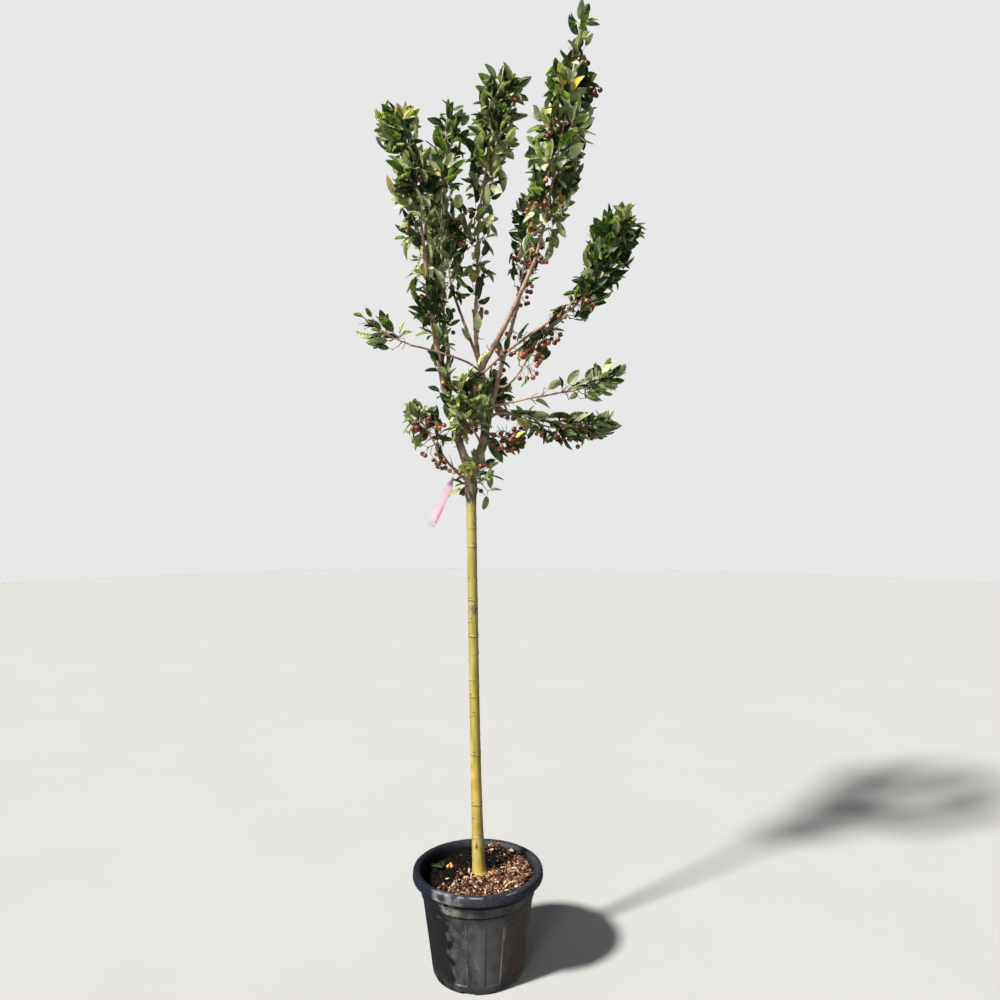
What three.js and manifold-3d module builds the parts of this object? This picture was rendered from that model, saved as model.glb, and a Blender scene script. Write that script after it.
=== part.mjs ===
// A flowering crabapple grafted on a straight stem and grown in a black nursery pot.
// Millimetres, +Z up. The origin is the centre of the pot's flat underside, and the front faces -Y.
// Every limb is one tapering solid. Every mass of foliage is one solid of stem, spurs, leaves and fruit.

import * as THREE from 'three';
import { mergeVertices } from 'three/addons/utils/BufferGeometryUtils.js';
import Module from 'manifold-3d';

const wasm = await Module();
wasm.setup();

const GAP = 0.3; // clear space between neighbouring pieces
const UP = new THREE.Vector3(0, 0, 1);

const POT = {
  height: 315,
  rimRadius: 200,
  rimHeight: 28,
  rimWidth: 23,
  topRadius: 179.5, // of the wall, under the rim
  footRadius: 139.5,
  wall: 4,
  floor: 12,
  panels: 18, // flat strips round the wall, every other one set back
  panelTurn: 19, // degrees from the first strip's edge to +X
  panelDepth: 2.2,
  panelLow: 26,
  panelHigh: 238,
  collarLow: 241, // from here up to the rim a band stands proud of the strips
  collarDepth: 3,
  slots: 6, // drainage slots round the foot
  slotTurn: 20, // degrees from +X to the middle of the first
  slotSize: [70, 36, 9],
};

const MULCH = {
  level: 290, // where the trunk stands
  flatRadius: 37, // round the trunk's foot
  edgeLevel: 285,
  edgeTilt: 18, // the bark is heaped towards one side of the pot
  heapHeading: 15,
  bump: 2.5,
};

const TRUNK = {
  heading: 180,
  reach: 28,
  curl: 0.6,
  bow: 0,
  arch: 0,
  rise: 1245,
  foot: [6, 0, 290],
  // radius at heights over the potting bark: root flare, plain stem, graft union, fork
  girth: [[0, 25], [14, 21.5], [50, 19.8], [180, 17.2], [380, 16], [620, 15.4], [1120, 15.2], [1158, 16],
    [1180, 20], [1212, 18.6], [1245, 21]],
};

// Each bough grows on another limb, at a share of that limb's length. It leaves towards a heading, in degrees
// from +X towards +Y, reaches out by the power curl of the share grown, rises evenly, and may bow aside or arch.
const BOUGHS = {
  left_front: { on: 'trunk', at: 0.985, heading: 210.3, reach: 140, rise: 527, curl: 0.93, bow: -22, arch: -19,
    thick: [27, 13.5] },
  right_main: { on: 'trunk', at: 0.985, heading: 13, reach: 46, rise: 115, curl: 1.07, bow: 0, arch: -2,
    thick: [30, 26] },
  centre: { on: 'right_main', at: 0.95, heading: 183, reach: 12, rise: 223, curl: 1.33, bow: -4, arch: 29,
    thick: [23, 20] },
  left_inner: { on: 'left_front', at: 0.52, heading: 102.5, reach: 45, rise: 234, curl: 1.16, bow: -13, arch: -25.5,
    thick: [14, 11] },
  right_inner: { on: 'right_main', at: 0.94, heading: 44, reach: 153, rise: 461, curl: 1.08, bow: -2.5, arch: 14,
    thick: [18, 9] },
  right_leader: { on: 'centre', at: 0.96, heading: 337, reach: 175, rise: 311, curl: 1.14, bow: -1, arch: -29,
    thick: [17, 11.5] },
  centre_leader: { on: 'centre', at: 0.96, heading: 104, reach: 57.5, rise: 277, curl: 1.15, bow: 11, arch: -26,
    thick: [14, 10.5] },
  left_back: { on: 'centre', at: 0.9, heading: 131.5, reach: 147, rise: 284, curl: 1.15, bow: -1, arch: -11.5,
    thick: [10, 8] },
  left_reach: { on: 'centre', at: 0.84, heading: 206, reach: 233.5, rise: 72, curl: 1.49, bow: 22.5, arch: 3,
    thick: [7, 5.5] },
  right_front: { on: 'left_front', at: 0.33, heading: 339, reach: 332, rise: 302, curl: 1.61, bow: -22.5, arch: -3,
    thick: [9, 6.5] },
  right_knot: { on: 'right_inner', at: 0.35, heading: 326, reach: 83.5, rise: 33.5, curl: 1, bow: -6, arch: -20,
    thick: [7.5, 6] },
  right_high: { on: 'centre', at: 0.3, heading: 336.5, reach: 242, rise: 42, curl: 1.75, bow: -21, arch: -5.5,
    thick: [8, 6] },
  right_low: { on: 'right_inner', at: 0.14, heading: 37, reach: 74, rise: 19, curl: 1, bow: 3, arch: 7,
    thick: [9, 7.5] },
  left_low: { on: 'trunk', at: 0.965, heading: 200.5, reach: 99, rise: 94, curl: 0.97, bow: -4, arch: -8,
    thick: [8.5, 6.5] },
  front_spray: { on: 'right_main', at: 0.75, heading: 239.5, reach: 61, rise: 57, curl: 1, bow: 5, arch: 1.5,
    thick: [8, 6] },
  low_cluster: { on: 'right_inner', at: 0.04, heading: 322, reach: 52.5, rise: -12, curl: 1, bow: -2, arch: 5,
    thick: [7, 5.5] },
  back_low: { on: 'centre', at: 0.12, heading: 80, reach: 95.5, rise: 73, curl: 1, bow: 1, arch: -7.5,
    thick: [9, 7] },
};

// Each mass of foliage grows on from a limb. Its stem follows the same rule as a bough. Its space is the
// radius round that stem, at foot, middle and tip, that its leaves keep to.
const MASSES = {
  left_front: { on: 'left_front', at: 0.985, heading: 213.5, reach: 112, rise: 487.5, curl: 0.91, bow: 19,
    arch: 86.5, thick: [11.5, 4], space: [84, 96, 96], spurs: 10, fruit: 0.2, seed: 11 },
  left_inner: { on: 'left_inner', at: 0.98, heading: 64, reach: 37, rise: 632, curl: 0.95, bow: 18, arch: 32,
    thick: [9, 3.5], space: [66, 92, 80], spurs: 9, fruit: 0.15, seed: 12 },
  left_back: { on: 'left_back', at: 0.985, heading: 117, reach: 98, rise: 462, curl: 0.7, bow: -0.5, arch: -18,
    thick: [6.5, 3.5], space: [70, 92, 76], spurs: 6, fruit: 0.1, seed: 13 },
  centre: { on: 'centre_leader', at: 0.98, heading: 22, reach: 91.5, rise: 634.5, curl: 1.61, bow: 24,
    arch: 16.5, thick: [8.5, 3.5], space: [46, 74, 108], spurs: 11, fruit: 0.35, crowd: 0.7, seed: 14 },
  right_leader: { on: 'right_leader', at: 0.985, heading: 349.5, reach: 150.5, rise: 714.5, curl: 0.82, bow: -19.5,
    arch: 2, thick: [9.5, 3], space: [76, 132, 66], spurs: 16, fruit: 0.25, seed: 15 },
  right_inner: { on: 'right_inner', at: 0.985, heading: 61.5, reach: 81.5, rise: 306, curl: 1, bow: 0, arch: -3.5,
    thick: [7.5, 4], space: [48, 88, 88], spurs: 7, fruit: 0.3, seed: 16 },
  right_front: { on: 'right_front', at: 0.985, heading: 350.5, reach: 180.5, rise: 243.5, curl: 0.68, bow: -1.5,
    arch: -23.5, thick: [5.5, 3], space: [64, 94, 92], spurs: 10, fruit: 0.1, seed: 17 },
  left_reach: { on: 'left_reach', at: 0.98, heading: 189, reach: 132, rise: 69.5, curl: 1.08, bow: 1.5,
    arch: -9.5, thick: [4.6, 3], space: [60, 74, 74], spurs: 4, fruit: 0, seed: 18 },
  right_high: { on: 'right_high', at: 0.98, heading: 350.5, reach: 162, rise: 42.5, curl: 1, bow: -3, arch: -8.5,
    thick: [5, 3], space: [60, 78, 70], spurs: 5, fruit: 0.15, seed: 19 },
  right_low: { on: 'right_low', at: 0.96, heading: 15, reach: 335.5, rise: -22, curl: 0.84, bow: 19, arch: -32,
    thick: [6.4, 3], space: [62, 78, 62], spurs: 10, fruit: 0.5, seed: 20 },
  right_knot: { on: 'right_knot', at: 0.96, heading: 324, reach: 113, rise: 113, curl: 1, bow: 1.5, arch: 6.5,
    thick: [5, 3], space: [64, 66, 50], spurs: 5, fruit: 0.5, seed: 21 },
  left_low: { on: 'left_low', at: 0.96, heading: 196.5, reach: 86.5, rise: 129.5, curl: 0.85, bow: 2, arch: 11.5,
    thick: [5.5, 3], space: [70, 90, 72], spurs: 6, fruit: 0.5, seed: 22 },
  front: { on: 'front_spray', at: 0.95, heading: 251, reach: 31, rise: 107.5, curl: 0.9, bow: -4, arch: -22.5,
    thick: [5, 3], space: [74, 100, 88], spurs: 9, fruit: 0.5, seed: 23 },
  low_cluster: { on: 'low_cluster', at: 0.94, heading: 332.5, reach: 57.5, rise: -12.5, curl: 1, bow: -1,
    arch: 0.5, thick: [4.6, 3], space: [66, 78, 66], spurs: 6, fruit: 0.6, seed: 24 },
  back_low: { on: 'back_low', at: 0.96, heading: 82.5, reach: 99.5, rise: 81.5, curl: 1, bow: 0, arch: 1.5,
    thick: [6, 3], space: [66, 90, 90], spurs: 5, fruit: 0.3, seed: 25 },
  union: { on: 'trunk', at: 0.95, heading: 330, reach: 34, rise: 62, curl: 0.8, bow: 0, arch: 0,
    thick: [5, 3], space: [70, 76, 70], spurs: 3, fruit: 0.5, seed: 26 },
};

// Leaves are fewer and larger than life, so that the crown looks as full as the real one.
const LEAF = { shortest: 76, longest: 108, width: 0.5, thickness: 0.05, widest: 0.45, droop: 0.1, clear: 0.8 };
const SPUR = { foot: 2.6, tip: 1.8, shortest: 0.3, longest: 0.55, leanLow: 92, leanHigh: 34, endLean: 6 };
// leaves along a spur: share of its length, lean from it
const SPUR_LEAVES = [[0.94, 14], [0.9, 54], [0.77, 58], [0.64, 58], [0.5, 60], [0.35, 64]];
const LEAF_TRIES = [1, 0.9, 0.8, 0.7]; // shorter leaves are tried where the longest has no room
const FRUIT = { radius: 9.5, sunk: 0.72, onSpur: 0.55 };
const GOLDEN_ANGLE = 137.508;

const TAG = {
  on: 'left_low',
  at: 0.42,
  eyeInner: 11,
  eyeOuter: 12.4,
  eyeWidth: 7,
  width: 24,
  length: 138,
  thickness: 1.4,
  lean: 25, // from plumb, to the left
};

const paint = (color, roughness) => new THREE.MeshStandardMaterial({ color, roughness, metalness: 0 });
const MATERIALS = {
  pot: paint(0x2b2d31, 0.45),
  mulch: paint(0x6b4630, 0.95),
  trunk: paint(0x9a9440, 0.6),
  bough: paint(0x7d5540, 0.75),
  leaves: paint(0x3d5a2b, 0.5),
  tag: paint(0xf0a8cf, 0.4),
};

const radians = THREE.MathUtils.degToRad;
const mix = THREE.MathUtils.lerp;

// Solids: a closed geometry becomes a solid that can be joined and cut, and comes back as a geometry.

function solidOf(geometry) {
  const bare = geometry.clone();
  bare.deleteAttribute('normal');
  bare.deleteAttribute('uv');
  const merged = mergeVertices(bare, 1e-4);
  const mesh = new wasm.Mesh({
    numProp: 3,
    vertProperties: merged.attributes.position.array,
    triVerts: new Uint32Array(merged.index.array),
  });
  return new wasm.Manifold(mesh);
}

function geometryOf(solid) {
  const mesh = solid.getMesh();
  const geometry = new THREE.BufferGeometry();
  geometry.setAttribute('position', new THREE.BufferAttribute(mesh.vertProperties, 3));
  geometry.setIndex(new THREE.BufferAttribute(mesh.triVerts, 1));
  geometry.computeVertexNormals();
  return geometry;
}

// The largest body of a solid, without loose scraps or sealed hollows.
function mainBody(solid) {
  return solid.decompose().reduce((best, body) => (body.volume() > best.volume() ? body : best));
}

function boxesMeet(a, b) {
  return [0, 1, 2].every((i) => a.min[i] < b.max[i] && b.min[i] < a.max[i]);
}

// Whether a solid meets any of a list of solids, each with its bounding box.
function meets(solid, others) {
  const box = solid.boundingBox();
  return others.some((other) => boxesMeet(box, other.box) && !solid.intersect(other.solid).isEmpty());
}

const boxed = (solid) => ({ solid, box: solid.boundingBox() });

// The same numbers come on every run.
function seeded(seed) {
  let state = seed * 7919;
  return () => {
    state = (state * 16807) % 2147483647;
    return state / 2147483647;
  };
}

// Limbs

class LimbLine extends THREE.Curve {
  constructor(limb, foot) {
    super();
    this.limb = limb;
    this.foot = foot;
  }

  getPoint(t, target = new THREE.Vector3()) {
    const { heading, reach, rise, curl, bow, arch } = this.limb;
    const turned = radians(heading);
    const out = reach * t ** curl;
    const aside = bow * Math.sin(Math.PI * t);
    return target.set(
      this.foot.x + Math.cos(turned) * out - Math.sin(turned) * aside,
      this.foot.y + Math.sin(turned) * out + Math.cos(turned) * aside,
      this.foot.z + rise * t + arch * Math.sin(Math.PI * t),
    );
  }
}

// A cylinder whose rings are set square to the line, at the radius of their place. Extra thickens it all over.
function limbSolid(line, radiusAt, sides, rings, extra = 0) {
  const geometry = new THREE.CylinderGeometry(1, 1, 1, sides, rings);
  const { position } = geometry.attributes;
  const { tangents, normals, binormals } = line.computeFrenetFrames(rings);
  const more = extra / Math.cos(Math.PI / sides);
  const place = new THREE.Vector3();
  for (let i = 0; i < position.count; i++) {
    const ring = Math.round((position.getY(i) + 0.5) * rings);
    const radius = radiusAt(ring / rings) + more;
    line.getPointAt(ring / rings, place);
    place.addScaledVector(normals[ring], position.getX(i) * radius);
    place.addScaledVector(binormals[ring], -position.getZ(i) * radius);
    if (ring === 0) place.addScaledVector(tangents[ring], -extra);
    if (ring === rings) place.addScaledVector(tangents[ring], extra);
    position.setXYZ(i, place.x, place.y, place.z);
  }
  return solidOf(geometry);
}

const limbs = {}; // each limb's line, its solid, and the solid that its neighbours keep clear of

// A limb is trimmed clear of every limb that stands already, its own parent among them.
function addLimb(name, line, radiusAt, sides, rings) {
  let solid = limbSolid(line, radiusAt, sides, rings);
  for (const other of Object.values(limbs)) solid = solid.subtract(other.fat);
  limbs[name] = {
    line,
    radiusAt,
    solid: mainBody(solid),
    fat: limbSolid(line, radiusAt, sides, rings, GAP),
  };
}

function trunkRadius(share) {
  const height = share * TRUNK.rise;
  const next = Math.max(1, TRUNK.girth.findIndex(([level]) => level >= height));
  const [[low, before], [high, after]] = [TRUNK.girth[next - 1], TRUNK.girth[next]];
  return mix(before, after, THREE.MathUtils.smoothstep(height, low, high));
}

function growTrunk() {
  const line = new LimbLine(TRUNK, new THREE.Vector3(...TRUNK.foot));
  let solid = limbSolid(line, trunkRadius, 12, 26);
  const ground = new THREE.BoxGeometry(200, 200, 40).translate(0, 0, MULCH.level - 20);
  solid = solid.subtract(solidOf(ground));
  limbs.trunk = { line, radiusAt: trunkRadius, solid, fat: limbSolid(line, trunkRadius, 12, 26, GAP) };
}

function growBough(name, plan) {
  const parent = limbs[plan.on];
  const line = new LimbLine(plan, parent.line.getPoint(plan.at));
  const [foot, tip] = plan.thick;
  const radiusAt = (share) => mix(foot, tip, share) / 2;
  const sides = foot > 12 ? 8 : 5;
  const rings = THREE.MathUtils.clamp(Math.round(line.getLength() / 50), 3, 10);
  addLimb(name, line, radiusAt, sides, rings);
}

// Foliage

// A unit vector square to the axis, turned about it.
function around(axis, degrees) {
  const flat = Math.abs(axis.z) > 0.9 ? new THREE.Vector3(1, 0, 0) : UP;
  const first = new THREE.Vector3().crossVectors(flat, axis).normalize();
  const second = new THREE.Vector3().crossVectors(axis, first);
  const turned = radians(degrees);
  return first.multiplyScalar(Math.cos(turned)).addScaledVector(second, Math.sin(turned));
}

function leaning(axis, degrees, turn) {
  const lean = radians(degrees);
  return axis.clone().multiplyScalar(Math.cos(lean)).addScaledVector(around(axis, turn), Math.sin(lean));
}

function spaceAt(plan, share) {
  const [foot, middle, tip] = plan.space;
  return share < 0.5 ? mix(foot, middle, share * 2) : mix(middle, tip, share * 2 - 1);
}

// A leaf is a flat blade with a keel under it: root, tip, right edge, left edge and keel, on a unit sphere.
const BLADE = {
  corners: [-1, 0, 0, 1, 0, 0, 0, 1, 0, 0, -1, 0, 0, 0, -1],
  faces: [0, 3, 2, 1, 2, 3, 0, 2, 4, 1, 4, 2, 1, 3, 4, 0, 4, 3],
};

function leafSolid(root, along, roll, length, extra = 0) {
  const side = around(along, roll);
  const face = new THREE.Vector3().crossVectors(along, side);
  const wide = (length * LEAF.width) / 2 + extra;
  const thick = length * LEAF.thickness + extra;
  const geometry = new THREE.PolyhedronGeometry(BLADE.corners, BLADE.faces, 1, 0);
  const { position } = geometry.attributes;
  for (let i = 0; i < position.count; i++) {
    const x = Math.round(position.getX(i));
    const share = x === 0 ? LEAF.widest : (x + 1) / 2;
    const place = root.clone().addScaledVector(along, length * share + extra * x);
    place.addScaledVector(side, position.getY(i) * wide);
    place.addScaledVector(face, position.getZ(i) * thick - length * LEAF.droop * share ** 2 + extra);
    position.setXYZ(i, place.x, place.y, place.z);
  }
  return solidOf(geometry);
}

// Where each spur of a mass starts and ends, by share of the stem: they turn about it by the golden angle,
// lean less towards its tip, and the last one carries the stem on.
function spursOf(plan, line) {
  const random = seeded(plan.seed);
  return Array.from({ length: plan.spurs }, (_, i) => {
    const share = ((i + 1) / plan.spurs) ** (plan.crowd ?? 1);
    const along = line.getTangent(share);
    const lean = share === 1 ? SPUR.endLean : mix(SPUR.leanLow, SPUR.leanHigh, share);
    const heading = leaning(along, lean, i * GOLDEN_ANGLE + 40 * random());
    const length = spaceAt(plan, share) * mix(SPUR.shortest, SPUR.longest, random());
    const from = line.getPoint(share);
    return { from, to: from.clone().addScaledVector(heading, length), heading };
  });
}

function growMass(plan, obstacles) {
  const parent = limbs[plan.on];
  const line = new LimbLine(plan, parent.line.getPoint(plan.at));
  const stemRadius = (share) => mix(plan.thick[0], plan.thick[1], share) / 2;
  const rings = THREE.MathUtils.clamp(Math.round(line.getLength() / 80), 2, 8);
  const stem = boxed(mainBody(limbSolid(line, stemRadius, 5, rings).subtract(parent.fat)));
  const leaves = [];
  const random = seeded(plan.seed + 100);
  const samples = line.getPoints(24);
  const insideSpace = (point) => samples.some((place, i) => place.distanceTo(point) < spaceAt(plan, i / 24));

  const spurs = spursOf(plan, line).map((spur) => {
    const twigLine = new THREE.LineCurve3(spur.from.clone().addScaledVector(spur.heading, 1), spur.to);
    return { ...spur, twig: boxed(limbSolid(twigLine, (share) => mix(SPUR.foot, SPUR.tip, share), 3, 1)) };
  }).filter(({ twig }) => !meets(twig.solid, obstacles));

  const addLeaf = (root, lean, turn, heading, others) => {
    for (const part of LEAF_TRIES) {
      const along = leaning(heading, lean, turn + 60 * random());
      const roll = 180 * random();
      const length = mix(LEAF.shortest, LEAF.longest, random()) * part;
      if (!insideSpace(root.clone().addScaledVector(along, length))) continue;
      const tested = leafSolid(root, along, roll, length, LEAF.clear);
      if (meets(tested, obstacles) || meets(tested, others) || meets(tested, leaves)) continue;
      leaves.push(boxed(leafSolid(root, along, roll, length)));
      return;
    }
  };

  spurs.forEach(({ from, to, heading, twig }) => {
    const others = [stem, ...spurs.map((spur) => spur.twig).filter((other) => other !== twig)];
    if (random() < plan.fruit) {
      const hang = from.clone().lerp(to, FRUIT.onSpur).addScaledVector(UP, -FRUIT.radius * FRUIT.sunk);
      const fruit = boxed(solidOf(new THREE.IcosahedronGeometry(FRUIT.radius).translate(hang.x, hang.y, hang.z)));
      if (!meets(fruit.solid, obstacles) && !meets(fruit.solid, leaves)) leaves.push(fruit);
    }
    SPUR_LEAVES.forEach(([share, lean], k) => {
      addLeaf(from.clone().lerp(to, share), lean, k * GOLDEN_ANGLE, heading, others);
    });
  });
  const pieces = [stem, ...spurs.map((spur) => spur.twig), ...leaves].map((piece) => piece.solid);
  return mainBody(wasm.Manifold.union(pieces));
}

// The pot and what fills it are turned on the upright axis, with the same corners round them.

const CORNERS = [0.04, 0.96]; // shares of a panel's width

function turned(profile, shape) {
  const perPanel = CORNERS.length;
  const geometry = new THREE.LatheGeometry(profile.map((p) => new THREE.Vector2(...p)), POT.panels * perPanel);
  const { position } = geometry.attributes;
  for (let i = 0; i < position.count; i++) {
    const radius = Math.hypot(position.getX(i), position.getZ(i));
    const corner = Math.floor(i / profile.length) % (POT.panels * perPanel);
    const panel = Math.floor(corner / perPanel);
    const angle = ((panel + CORNERS[corner % perPanel]) / POT.panels) * 2 * Math.PI + radians(POT.panelTurn);
    const [r, z] = shape(radius, position.getY(i), angle, panel);
    position.setXYZ(i, r * Math.cos(angle), r * Math.sin(angle), z);
  }
  return solidOf(geometry);
}

const outerRadius = (z) => mix(POT.footRadius, POT.topRadius, z / (POT.height - POT.rimHeight));
const innerRadius = (z) => outerRadius(z) - POT.wall - POT.collarDepth;

function makePot() {
  const { height, rimRadius, rimHeight, rimWidth, panelLow, panelHigh, collarLow, collarDepth } = POT;
  const low = height - rimHeight;
  const inset = (z) => outerRadius(z) - collarDepth;
  const profile = [
    [0, 0], [inset(0) - 5, 0], [inset(0), 5], [inset(panelLow), panelLow], [inset(panelHigh), panelHigh],
    [outerRadius(collarLow), collarLow], [outerRadius(low), low],
    [rimRadius - 2, low], [rimRadius, low + 5], [rimRadius - 1, height - 7], [rimRadius - 8, height],
    [rimRadius - rimWidth + 4, height], [innerRadius(low), low - 4],
    [innerRadius(POT.floor), POT.floor], [0, POT.floor],
  ];
  const setBack = (radius, z, angle, panel) => {
    const onPanel = z > panelLow - 1 && z < panelHigh + 1 && radius > innerRadius(z) + 1;
    return [radius - (onPanel && panel % 2 ? POT.panelDepth : 0), z];
  };
  let pot = turned(profile, setBack);
  for (let i = 0; i < POT.slots; i++) {
    const slot = new THREE.BoxGeometry(...POT.slotSize.slice(0, 2), POT.slotSize[2] * 2);
    slot.translate(outerRadius(0), 0, 0).rotateZ((i / POT.slots) * 2 * Math.PI + radians(POT.slotTurn));
    pot = pot.subtract(solidOf(slot));
  }
  return pot;
}

function makeMulch() {
  const base = POT.floor + GAP;
  const edge = innerRadius(MULCH.level) - 1.5;
  const flat = MULCH.flatRadius / edge;
  const bareRings = [1, 0.78, 0.56, 0.36, flat];
  const profile = [[0, base], [innerRadius(base) - GAP, base],
    ...bareRings.map((share) => [edge * share, MULCH.level]), [0, MULCH.level]];
  const heaped = (radius, z, angle) => {
    if (z < base + GAP) return [radius, z];
    const out = THREE.MathUtils.smoothstep(radius, MULCH.flatRadius, edge);
    const tilt = MULCH.edgeTilt * Math.cos(angle - radians(MULCH.heapHeading));
    const loose = radius > MULCH.flatRadius + 1 && radius < edge * 0.99;
    const bump = loose ? MULCH.bump * Math.sin(5 * angle + radius / 9) : 0;
    const level = MULCH.level - GAP + out * (MULCH.edgeLevel - MULCH.level + tilt) + bump;
    return [radius > edge * 0.99 ? innerRadius(level) - GAP : radius, level];
  };
  return turned(profile, heaped);
}

// The tag is a stiff strip whose eye hangs round a low bough.
function makeTag() {
  const { line, radiusAt } = limbs[TAG.on];
  const along = line.getTangentAt(TAG.at);
  const down = UP.clone().negate().addScaledVector(along, along.z).normalize();
  const drop = TAG.eyeInner - radiusAt(TAG.at) - GAP;
  const centre = line.getPointAt(TAG.at).addScaledVector(down, drop);
  const ring = new THREE.Shape().absarc(0, 0, TAG.eyeOuter, 0, 2 * Math.PI);
  ring.holes.push(new THREE.Path().absarc(0, 0, TAG.eyeInner, 0, 2 * Math.PI, true));
  const eye = new THREE.ExtrudeGeometry(ring, { depth: TAG.eyeWidth, bevelEnabled: false, curveSegments: 7 });
  eye.translate(0, 0, -TAG.eyeWidth / 2);
  const across = new THREE.Vector3().crossVectors(along, down);
  eye.applyMatrix4(new THREE.Matrix4().makeBasis(down, across.negate(), along).setPosition(centre));
  const strip = new THREE.BoxGeometry(TAG.width, TAG.thickness, TAG.length);
  strip.translate(0, 0, -TAG.length / 2 + 1.5).rotateY(radians(TAG.lean));
  const top = centre.clone().addScaledVector(down, (TAG.eyeInner + TAG.eyeOuter) / 2);
  strip.translate(top.x, top.y, top.z);
  return mainBody(solidOf(strip).add(solidOf(eye)));
}

// Assembly

const tree = new THREE.Group();

function addNode(name, solid, material) {
  const mesh = new THREE.Mesh(geometryOf(solid), MATERIALS[material]);
  mesh.name = name;
  tree.add(mesh);
  return solid;
}

const pot = addNode('pot', makePot(), 'pot');
const mulch = addNode('bark_mulch', makeMulch(), 'mulch');
growTrunk();
addNode('trunk', limbs.trunk.solid, 'trunk');
for (const [name, plan] of Object.entries(BOUGHS)) {
  growBough(name, plan);
  addNode(`bough_${name}`, limbs[name].solid, 'bough');
}
const tag = addNode('tag', makeTag(), 'tag');

const standing = [pot, mulch, tag, ...Object.values(limbs).map((limb) => limb.solid)].map(boxed);
for (const [name, plan] of Object.entries(MASSES)) {
  const mass = growMass(plan, standing);
  standing.push(boxed(mass));
  addNode(`foliage_${name}`, mass, 'leaves');
}

export default tree;
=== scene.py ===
import math

import bmesh
import bpy
import numpy as np
from mathutils import Matrix, Vector, noise


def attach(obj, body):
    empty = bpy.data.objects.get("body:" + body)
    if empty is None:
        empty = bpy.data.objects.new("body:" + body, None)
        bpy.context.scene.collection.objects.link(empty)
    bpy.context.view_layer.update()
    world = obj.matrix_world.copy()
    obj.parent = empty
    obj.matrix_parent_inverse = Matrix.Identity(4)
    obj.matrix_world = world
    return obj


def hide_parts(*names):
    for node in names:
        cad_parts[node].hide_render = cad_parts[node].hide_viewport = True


# A flowering crabapple grafted on a straight stem, in the black pot that it was grown in.
# Metres, +Z up. The origin is the centre of the pot's flat underside, and the front faces -Y.

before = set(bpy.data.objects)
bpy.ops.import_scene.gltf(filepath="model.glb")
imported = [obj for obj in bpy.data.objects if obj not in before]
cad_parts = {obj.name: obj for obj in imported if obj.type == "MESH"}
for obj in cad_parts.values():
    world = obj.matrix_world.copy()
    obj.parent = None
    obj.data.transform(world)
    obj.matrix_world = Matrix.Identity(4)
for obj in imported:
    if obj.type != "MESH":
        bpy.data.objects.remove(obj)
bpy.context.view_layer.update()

# Camera and light
# The view is level, from chest height and a little over two metres away. A key light stands high on the left
# of it, a large weak lamp fills in from beside the camera, and a pale surround lights the rest.

FOCAL_PIXELS = 783
PICTURE_WIDTH = 1000
SENSOR_MM = 36
EYE = (0.0677, -2.41, 1.44)
LAMPS = {
    # heading, height, softness | power, colour
    "key": (216, 43, 6, 8.1, (1.0, 0.96, 0.9)),
    "fill": (250, 18, 16, 0.8, (1.0, 1.0, 0.97)),
}
SURROUND, SURROUND_POWER = (0.94, 0.97, 1.0), 0.15

bpy.ops.object.select_all(action="DESELECT")
bpy.ops.object.camera_add(location=EYE, rotation=(math.radians(90), 0, 0))
camera = bpy.context.object
camera.data.sensor_width = SENSOR_MM
camera.data.lens = SENSOR_MM * FOCAL_PIXELS / PICTURE_WIDTH
bpy.context.scene.camera = camera
bpy.context.scene.view_settings.view_transform = "Standard"

for name, (heading, height, softness, power, colour) in LAMPS.items():
    heading, height = math.radians(heading), math.radians(height)
    level = math.cos(height)
    toward = Vector((math.cos(heading) * level, math.sin(heading) * level, math.sin(height)))
    bpy.ops.object.light_add(type="SUN", rotation=toward.to_track_quat("Z", "Y").to_euler())
    lamp = bpy.context.object
    lamp.name = name
    lamp.data.energy = power
    lamp.data.angle = math.radians(softness)
    lamp.data.color = colour

surround = bpy.data.worlds.new("surround")
bpy.context.scene.world = surround
surround.use_nodes = True
surround.node_tree.nodes["Background"].inputs["Color"].default_value = (*SURROUND, 1)
surround.node_tree.nodes["Background"].inputs["Strength"].default_value = SURROUND_POWER


# Floor
# A wide sheet of pale matt board, on which the pot stands.

FLOOR_RADIUS, FLOOR_SIDES = 14.0, 64
FLOOR_RING = 0.8  # of its radius, the flat ring round its middle


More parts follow.
